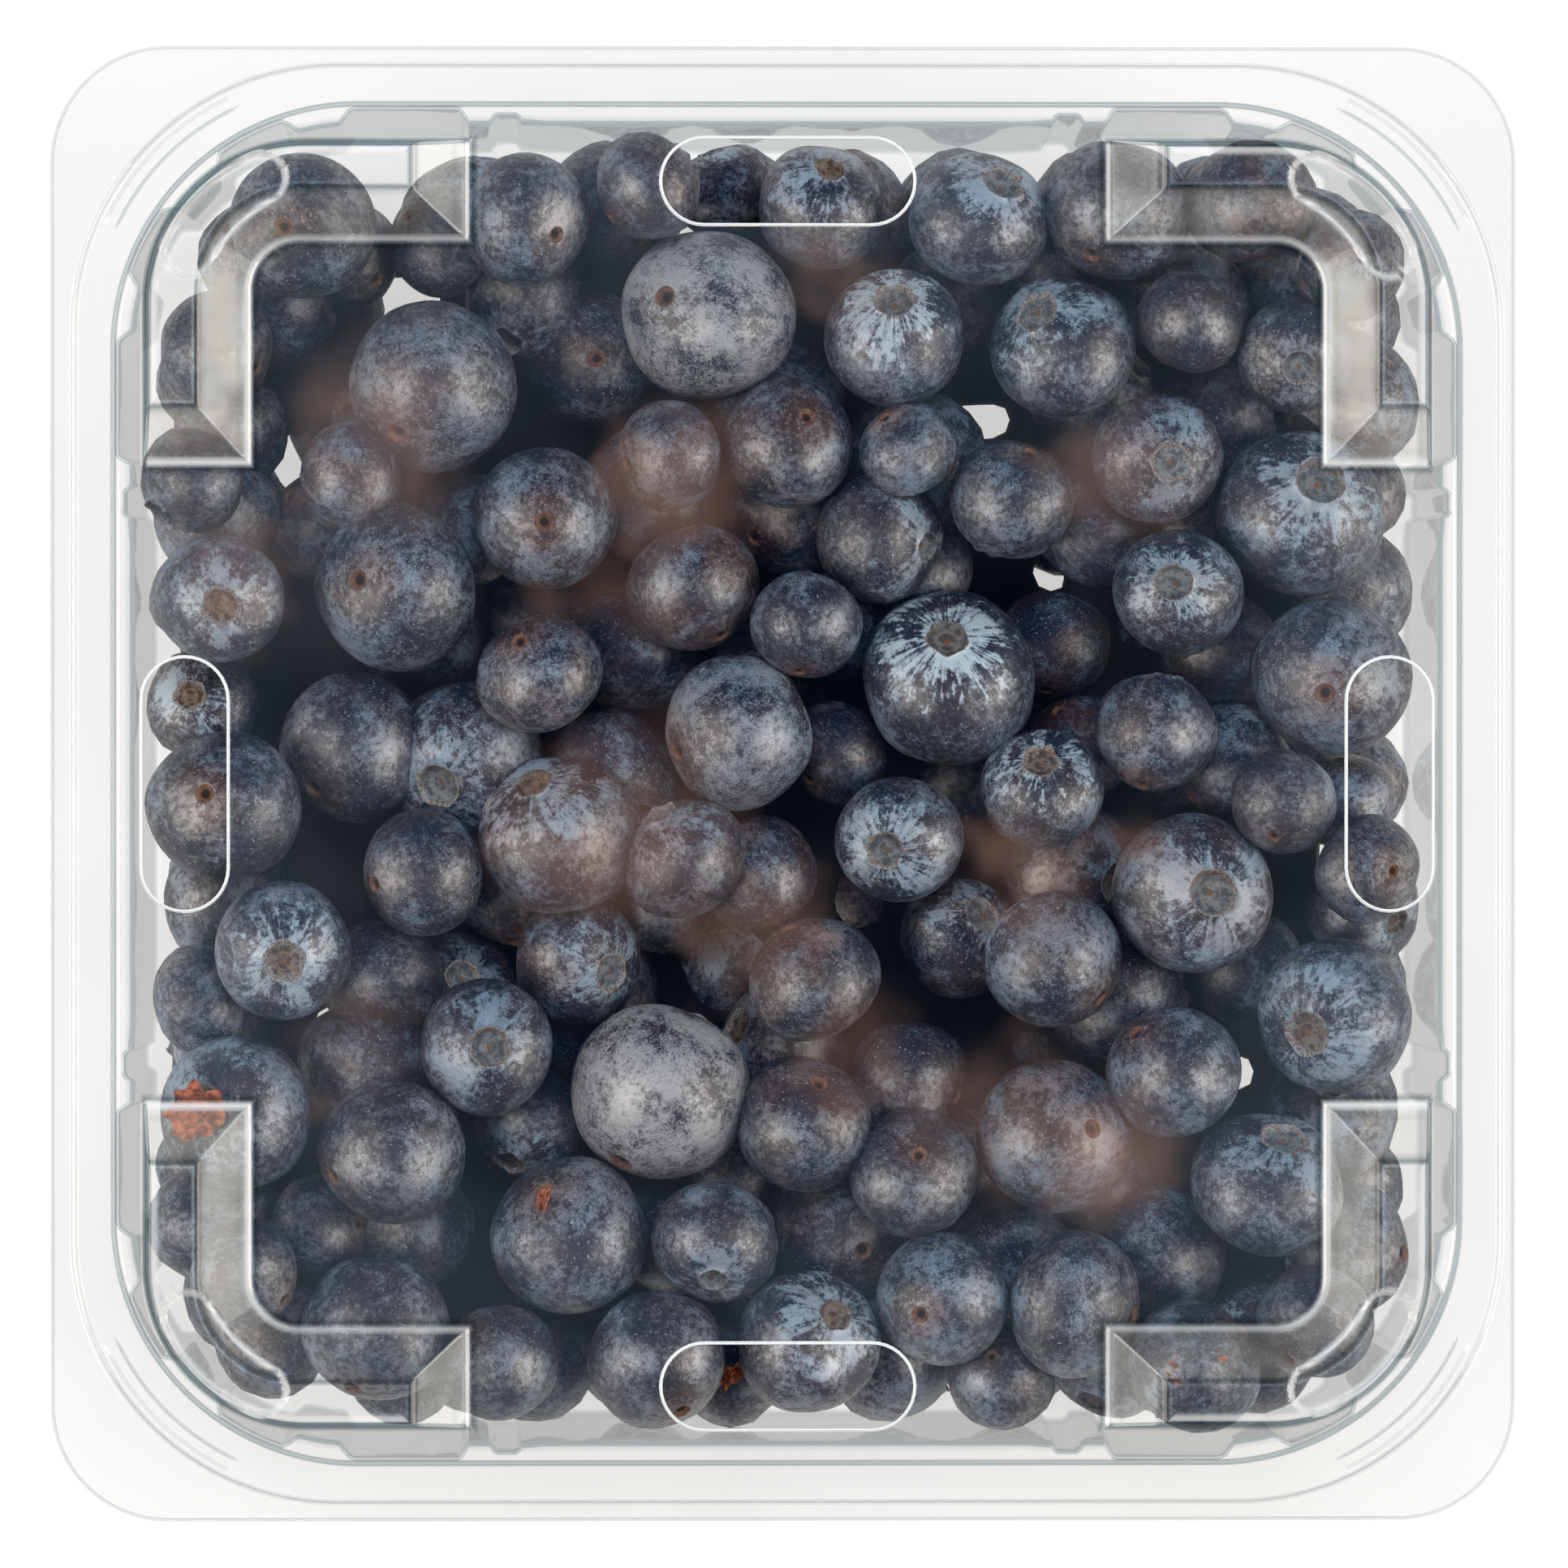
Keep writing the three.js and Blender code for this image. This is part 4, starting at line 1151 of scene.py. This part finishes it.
def bloom_group():
    """Wax bloom on fruit skin: its colour, roughness, sheen and height."""
    group, board, given, result = new_group(
        "Fruit bloom",
        [("Place", "Vector"), ("Drift", "Vector"), ("Tone", "Vector")],
        [("Color", "Color"), ("Roughness", "Float"), ("Coat", "Float"), ("Height", "Float")],
    )
    pale, brown, streak = board.parts(given["Tone"])
    own = board.parts(given["Place"])
    grain = board.vector("ADD", given["Place"], given["Drift"])
    patches = board.fog(grain, 1.7, 2.0, 0.6)
    mottle = board.fog(grain, 9.5, 3.0, 0.75)
    speckle = board.fog(grain, 40.0, 1.0, 0.6)
    dust = board.spread(board.fog(grain, 31.0, 0.0), 0.74, 0.80)

    # bloom round the crown, feathered along lines that run out from it
    reach = board.math("MAXIMUM", from_axis(board, own), 0.02)
    rays = board.node("ShaderNodeCombineXYZ", None,
                      X=board.times(board.math("DIVIDE", own[0], reach), 4.0),
                      Y=board.times(board.math("DIVIDE", own[1], reach), 4.0),
                      Z=board.add(board.times(own[2], 2.2), patches))
    ragged = own[2]
    for pattern, size in ((board.fog(rays.outputs[0], 2.4, 2.0, 0.75), 1.3), (patches, 1.4), (mottle, 1.0)):
        ragged = board.add(ragged, board.swing(pattern, size))
    rays_on = board.times(board.spread(ragged, 0.62, 1.0), streak)
    collar = board.times(board.spread(ragged, 0.55, 0.95), 0.35)

    cover = board.math("SUBTRACT", pale, 0.35)
    for pattern, size in ((patches, 3.0), (mottle, 2.2), (speckle, 2.0)):
        cover = board.add(cover, board.swing(pattern, size))
    cover = board.add(cover, board.add(rays_on, collar), clamp=True)

    # rubbed to brown in patches, and round the stem scar
    halo = board.spread(own[2], -0.74, -0.88, 0.0, 0.7)
    rub = board.times(board.spread(board.fog(grain, 1.2, 1.0, 0.5), 0.40, 0.62),
                      board.add(board.times(brown, 0.9), 0.15))
    rub = board.add(rub, halo, clamp=True)
    skin = board.blend(rub, rgb(0.002, 0.008, 0.026), rgb(0.030, 0.012, 0.013))
    wax = board.blend(rub, rgb(0.135, 0.215, 0.305), rgb(0.215, 0.145, 0.148))
    wax = board.blend(board.spread(pale, 0.72, 1.0), wax, rgb(0.300, 0.310, 0.335))
    colour = board.blend(cover, skin, wax)
    colour = board.blend(rays_on, colour, rgb(0.40, 0.50, 0.57))
    colour = board.blend(board.times(dust, 0.5), colour, rgb(0.42, 0.48, 0.52))
    glow = board.add(board.times(mottle, 0.6), board.times(patches, 0.4))
    roughness = board.spread(cover, 0.0, 0.9, 0.45, 0.65)
    coat = board.spread(glow, 0.42, 0.58, 0.35, 1.0)
    board.give_all(result, (colour, roughness, coat, board.fog(grain, 12.0, 1.0, 0.7)))
    return group


def fruit_material(name):
    """A material that reads a fruit's own place, its pattern's drift and its tone."""
    material, board = new_material(name)
    return material, board, [board.attribute(label) for label in ("own_place", "drift", "tone")]


def skin_material(bloom):
    material, board, (place, drift, tone) = fruit_material("blueberry_skin_bloom")
    wax = board.node("ShaderNodeGroup", {"node_tree": bloom}, Place=place, Drift=drift, Tone=tone).outputs
    board.finish(Base_Color=wax["Color"], Roughness=wax["Roughness"], Coat_Weight=wax["Coat"],
                 Coat_Roughness=0.52, Coat_IOR=2.8, Normal=board.bump(0.8, 0.00026, wax["Height"]))
    return material


def crown_material():
    """The dry crown: blue-grey bowl, tan lips."""
    material, board, (place, drift, _) = fruit_material("dry_crown")
    reach = from_axis(board, board.parts(place))
    moved = board.vector("ADD", place, drift)
    grain = board.fog(moved, 8.0, 4.0, 0.7)
    kind = board.parts(drift)[0]
    dark = board.blend(board.spread(kind, 10.0, 38.0), rgb(0.055, 0.065, 0.078), rgb(0.060, 0.030, 0.020))
    light = board.blend(board.spread(kind, 8.0, 42.0), rgb(0.150, 0.170, 0.185), rgb(0.155, 0.115, 0.085))
    bowl = board.blend(board.spread(grain, 0.42, 0.60), dark, light)
    lips = board.blend(board.spread(board.fog(moved, 26.0, 2.0, 0.6), 0.44, 0.60),
                       rgb(0.200, 0.235, 0.260), rgb(0.150, 0.070, 0.040))
    edge = board.spread(board.add(reach, board.swing(grain, 0.16)), 0.205, 0.255)
    ring = board.spread(board.math("ABSOLUTE", board.math("SUBTRACT", reach, 0.125)),
                        0.004, 0.022, 0.45, 0.0)
    dot = board.spread(reach, 0.02, 0.05, 1.0, 0.0)
    colour = board.blend(edge, bowl, lips)
    colour = board.blend(ring, colour, rgb(0.230, 0.165, 0.120))
    colour = board.blend(dot, colour, rgb(0.150, 0.065, 0.032))
    board.finish(Base_Color=colour, Roughness=0.75, Normal=board.bump(0.6, 0.0002, grain))
    return material


def scar_material():
    """The stem scar: a dark pit in a brown ring."""
    material, board, (place, drift, _) = fruit_material("stem_scar")
    reach = from_axis(board, board.parts(place))
    grain = board.fog(board.vector("ADD", place, drift), 16.0, 4.0, 0.7)
    ring = board.blend(board.spread(grain, 0.35, 0.65), rgb(0.085, 0.038, 0.026), rgb(0.190, 0.100, 0.066))
    colour = board.blend(board.spread(reach, 0.045, 0.085), rgb(0.016, 0.009, 0.009), ring)
    board.finish(Base_Color=colour, Roughness=0.8, Normal=board.bump(0.7, 0.0002, grain))
    return material


def painted_shade_core_material():
    material, board = new_material("heap_painted_shade")
    grain = board.fog(board.here(), 260.0, 4.0, 0.6)
    # near-black painted shade standing in for the shaded depth of the heap
    colour = board.blend(grain, rgb(0.001, 0.002, 0.005), rgb(0.005, 0.004, 0.006))
    board.finish(Base_Color=colour, Roughness=0.7)
    return material


# Brown smears on the lid: x, y and radius in millimetres, and strength.
SMEARS = [
    (-41, 34, 10, 0.8), (-10, 30.5, 8, 0.9), (4.5, 51.5, 6, 0.8), (-15.5, -3.5, 12, 0.8),
    (-3, -15.5, 8, 1), (23, -9.5, 7, 0.9), (37, -7, 6, 0.7), (35, -38, 8.5, 1),
    (23, -34.5, 9, 0.6), (-47, -27, 7, 0.7), (-17, 19.5, 7, 0.6), (6, -28.5, 8, 0.7),
    (33.5, 31.5, 6.5, 0.7), (-53.5, 21.5, 7, 0.6),
]


def haze_group():
    """Haze, smears and fine scuffs on formed plastic."""
    group, board, given, result = new_group(
        "Plastic haze",
        [("Place", "Vector"), ("Haze", "Float"), ("Mist", "Float"), ("Smear", "Float")],
        [("Haze", "Float"), ("Color", "Color")],
    )
    place = given["Place"]
    warp = board.clouds(place, 70.0, 2.0, 0.6)
    flat = board.vector("MULTIPLY", place, (1.0, 1.0, 0.0))
    moved = board.vector("MULTIPLY_ADD", warp[1], (0.024, 0.016, 0.0), flat)
    moved = board.vector("SUBTRACT", moved, (0.012, 0.008, 0.0))
    smears = 0.0
    for x, y, radius, strength in SMEARS:
        away = board.vector("DISTANCE", moved, (x * MM, y * MM, 0.0))
        spot = board.spread(away, 0.25 * radius * MM, 1.25 * radius * MM, strength, 0.0)
        smears = board.math("MAXIMUM", smears, spot)

    from_middle = board.vector("LENGTH", moved)
    haze_and_painted_reflection = board.times(board.spread(from_middle, 26 * MM, 62 * MM, 0.03, 1.0),
                       board.spread(board.fog(place, 34.0, 3.0, 0.55), 0.30, 0.66, 0.45, 1.3))
    scratched = board.node("ShaderNodeMapping", None, Vector=place, Scale=(90.0, 1400.0, 90.0),
                           Rotation=(0.0, 0.0, 0.6))
    scratch = board.spread(board.fog(scratched.outputs[0], 1.0, 2.0, 0.5), 0.68, 0.76)
    scuffed = board.times(given["Haze"], board.add(1.0, board.times(scratch, 4.0)))
    mist = board.add(board.times(given["Mist"], haze_and_painted_reflection), scuffed)
    brown = board.times(board.times(smears, given["Smear"]),
                        board.spread(warp[0], 0.30, 0.62, 0.4, 1.15))
    total = board.add(mist, brown, clamp=True)
    share = board.math("DIVIDE", brown, board.math("MAXIMUM", total, 0.001), clamp=True)
    board.give_all(result, (total, board.blend(share, rgb(0.46, 0.62, 0.76), rgb(0.37, 0.21, 0.15))))
    return group


def film_on(board, dull, film, white, haze_and_painted_reflection, haze, mist, smear):
    """The sheet's haze, the streaked painted reflection on the ridges' walls and the painted highlight
    lines at its folds, on the dull shader.
    """
    place = board.here()
    coat = board.node("ShaderNodeGroup", {"node_tree": film}, Place=place, Haze=haze, Mist=mist,
                      Smear=smear).outputs
    # painted whitish reflection where the corners carry it, then painted white highlights at the folds
    colour = board.blend(board.spread(haze_and_painted_reflection, 0.0, 0.12), coat["Color"], rgb(0.66, 0.64, 0.58))
    colour = board.blend(board.spread(white, 0.0, 0.3), colour, rgb(0.86, 0.88, 0.87))
    streaks = board.spread(board.fog(place, 110.0, 2.0, 0.6), 0.38, 0.62, 0.45, 1.15)
    # the painted reflection, in streaks, and the painted highlights also make the sheet less clear there
    alpha = board.add(coat["Haze"], board.times(haze_and_painted_reflection, streaks), clamp=True)
    board.give(dull.inputs["Base Color"], colour)
    board.give(dull.inputs["Alpha"], board.math("MAXIMUM", alpha, white))


def clear_material(name, steep, film=None, haze=0.0, mist=0.0, smear=0.0):
    """Thin clear plastic: seen through, mirrors by Fresnel, darker where seen edge-on, with painted dark
    lines and painted highlights at its folds.
    """
    material, board = new_material(name)
    # the painted highlight, painted dark line and painted reflection kept at the sheet's corners
    white, dark, haze_and_painted_reflection = board.parts(board.attribute("lines"))
    dull = board.node("ShaderNodeBsdfPrincipled", None, Base_Color=rgb(0.80, 0.82, 0.82), Roughness=0.5,
                      Alpha=haze)
    if film:
        film_on(board, dull, film, white, haze_and_painted_reflection, haze, mist, smear)
    facing = board.node("ShaderNodeLayerWeight", None, Blend=0.5).outputs["Facing"]
    slant = board.spread(facing, 0.35, 1.0)
    # painted dark lines at the folds, joined with the darkening where the lid is seen edge-on; none where a
    # painted highlight lies
    grazing_and_painted_dark = board.math("MAXIMUM", dark, board.times(board.spread(facing, 0.80, 0.93), steep))
    grazing_and_painted_dark = board.times(grazing_and_painted_dark, board.math("SUBTRACT", 1.0, white))
    tint = board.blend(slant, rgb(0.958, 0.952, 0.940), rgb(0.76, 0.775, 0.765))
    edge_on_and_painted_dark = rgb(0.24, 0.33, 0.36)
    tinted = board.node("ShaderNodeBsdfTransparent", None, Color=board.blend(grazing_and_painted_dark, tint, edge_on_and_painted_dark))
    edge = board.node("ShaderNodeBsdfTransparent", None, Color=edge_on_and_painted_dark)
    shade = board.node("ShaderNodeBsdfTransparent", None, Color=rgb(0.98, 0.985, 0.985))
    gloss = board.node("ShaderNodeBsdfGlossy", None, Color=rgb(1, 1, 1), Roughness=0.05)
    mirror = board.node("ShaderNodeFresnel", None, IOR=1.6).outputs[0]
    bright = board.times(mirror, board.math("SUBTRACT", 1.0, board.times(grazing_and_painted_dark, 0.8)))
    inner = board.node("ShaderNodeNewGeometry").outputs["Backfacing"]
    light = board.node("ShaderNodeLightPath").outputs["Is Shadow Ray"]
    front = board.mixed(bright, board.mixed(grazing_and_painted_dark, dull, edge), gloss)
    board.close(board.mixed(light, board.mixed(inner, front, tinted), shade))
    return material


def scrap_material():
    """Dry brown leaf and calyx."""
    material, board = new_material("dry_scrap")
    grain = board.spread(board.fog(board.here(), 900.0, 3.0, 0.65), 0.35, 0.65)
    colour = board.blend(grain, rgb(0.110, 0.020, 0.010), rgb(0.480, 0.140, 0.060))
    board.finish(Base_Color=colour, Roughness=0.8)
    return material


def cut_edge_material():
    """The whitish cut edge of the sheet round a vent."""
    material, board = new_material("cut_edge")
    board.finish(Base_Color=rgb(0.80, 0.82, 0.82), Roughness=0.5)
    return material


def floor_material():
    """A pale floor that glows where the camera sees it, and less for other rays."""
    material, board = new_material("pale_floor")
    seen = board.node("ShaderNodeLightPath").outputs["Is Camera Ray"]
    board.finish(Base_Color=rgb(0.34, 0.34, 0.34), Roughness=0.9, Emission_Color=rgb(1, 1, 1),
                 Emission_Strength=board.spread(seen, 0.0, 1.0, 0.35, 0.76))
    return material


# ---- studio

EYE = Vector((-0.027, 0.008, 1.237))
EYE_AIM = Vector((0.0, 0.0, 0.037))
LIGHT_AIM = Vector((0, 0, 0.02))
WARM, COOL, CREAM = (1.0, 0.91, 0.82), (0.90, 0.97, 1.0), (1.0, 0.97, 0.88)
# Name, place, size, power and colour. The last says whether the plastic mirrors it.
SOFTBOXES = [
    ("softbox_left", (-0.90, -0.2, 0.80), (0.8, 0.7), 9.5, WARM),
    ("softbox_right", (1.0, -0.2, 0.75), (0.8, 0.7), 10.5, WARM),
    ("softbox_top", (0.0, 0.62, 1.35), (1.1, 0.5), 17, COOL, False),
    ("card_left", (-1.1, 0.0, 0.17), (1.2, 0.26), 2, CREAM),
    ("card_right", (1.1, 0.0, 0.17), (1.2, 0.26), 2, CREAM),
]


def add_camera():
    lens = bpy.data.cameras.new("camera")
    lens.lens = 269.3
    lens.sensor_width = 36.0
    lens.clip_end = 20
    camera = bpy.data.objects.new("camera", lens)
    back = (EYE - EYE_AIM).normalized()
    side = Vector((0, 1, 0)).cross(back).normalized()
    turn = Matrix((side, back.cross(side), back)).transposed()
    camera.location = EYE
    camera.rotation_euler = turn.to_euler()
    bpy.context.collection.objects.link(camera)
    bpy.context.scene.camera = camera


def add_softbox(name, place, size, power, colour, mirrored=True):
    lamp = bpy.data.lights.new(name, "AREA")
    lamp.shape = "RECTANGLE"
    lamp.size, lamp.size_y = size
    lamp.energy = power
    lamp.color = colour
    box = bpy.data.objects.new(name, lamp)
    box.location = place
    box.rotation_euler = (LIGHT_AIM - Vector(place)).to_track_quat("-Z", "Y").to_euler()
    box.visible_glossy = mirrored
    bpy.context.collection.objects.link(box)


def add_world():
    """Pale where the camera sees it, and dark blue for all other rays."""
    world = bpy.data.worlds.new("studio")
    world.use_nodes = True
    board = Board(world.node_tree)
    seen = board.node("ShaderNodeLightPath").outputs["Is Camera Ray"]
    sky = board.blend(seen, rgb(0.004, 0.020, 0.075), rgb(0.90, 0.91, 0.92))
    board.give(world.node_tree.nodes["Background"].inputs["Color"], sky)
    bpy.context.scene.world = world


def add_studio():
    deselect_everything()
    bpy.ops.mesh.primitive_plane_add(size=6)
    floor = bpy.context.object
    floor.name = "floor"
    dress(floor, floor_material())
    add_world()
    for softbox in SOFTBOXES:
        add_softbox(*softbox)
    bpy.context.scene.view_settings.view_transform = "Standard"
    bpy.context.scene.view_settings.look = "None"


# ---- the whole punnet

add_camera()
bloom = bloom_group()
skin, crown, scar = skin_material(bloom), crown_material(), scar_material()
for heap in model_heap((skin, crown, scar)):
    hand_in(heap, "berries")

core = model_core()
dress(core, painted_shade_core_material())
hand_in(core, "berries")

scraps = model_scraps()
dress(scraps, scrap_material())
hand_in(scraps, "berries")

film = haze_group()
tray = model_tray()
dress(tray, clear_material("clear_tray_plastic", 0.0, haze=0.03))
hand_in(tray, "tray")

clear_lid = clear_material("clear_lid_plastic", 1.0, film, haze=0.0005, mist=0.028, smear=0.22)
lid = model_lid(clear_lid, cut_edge_material())
hand_in(lid, "lid")

add_studio()
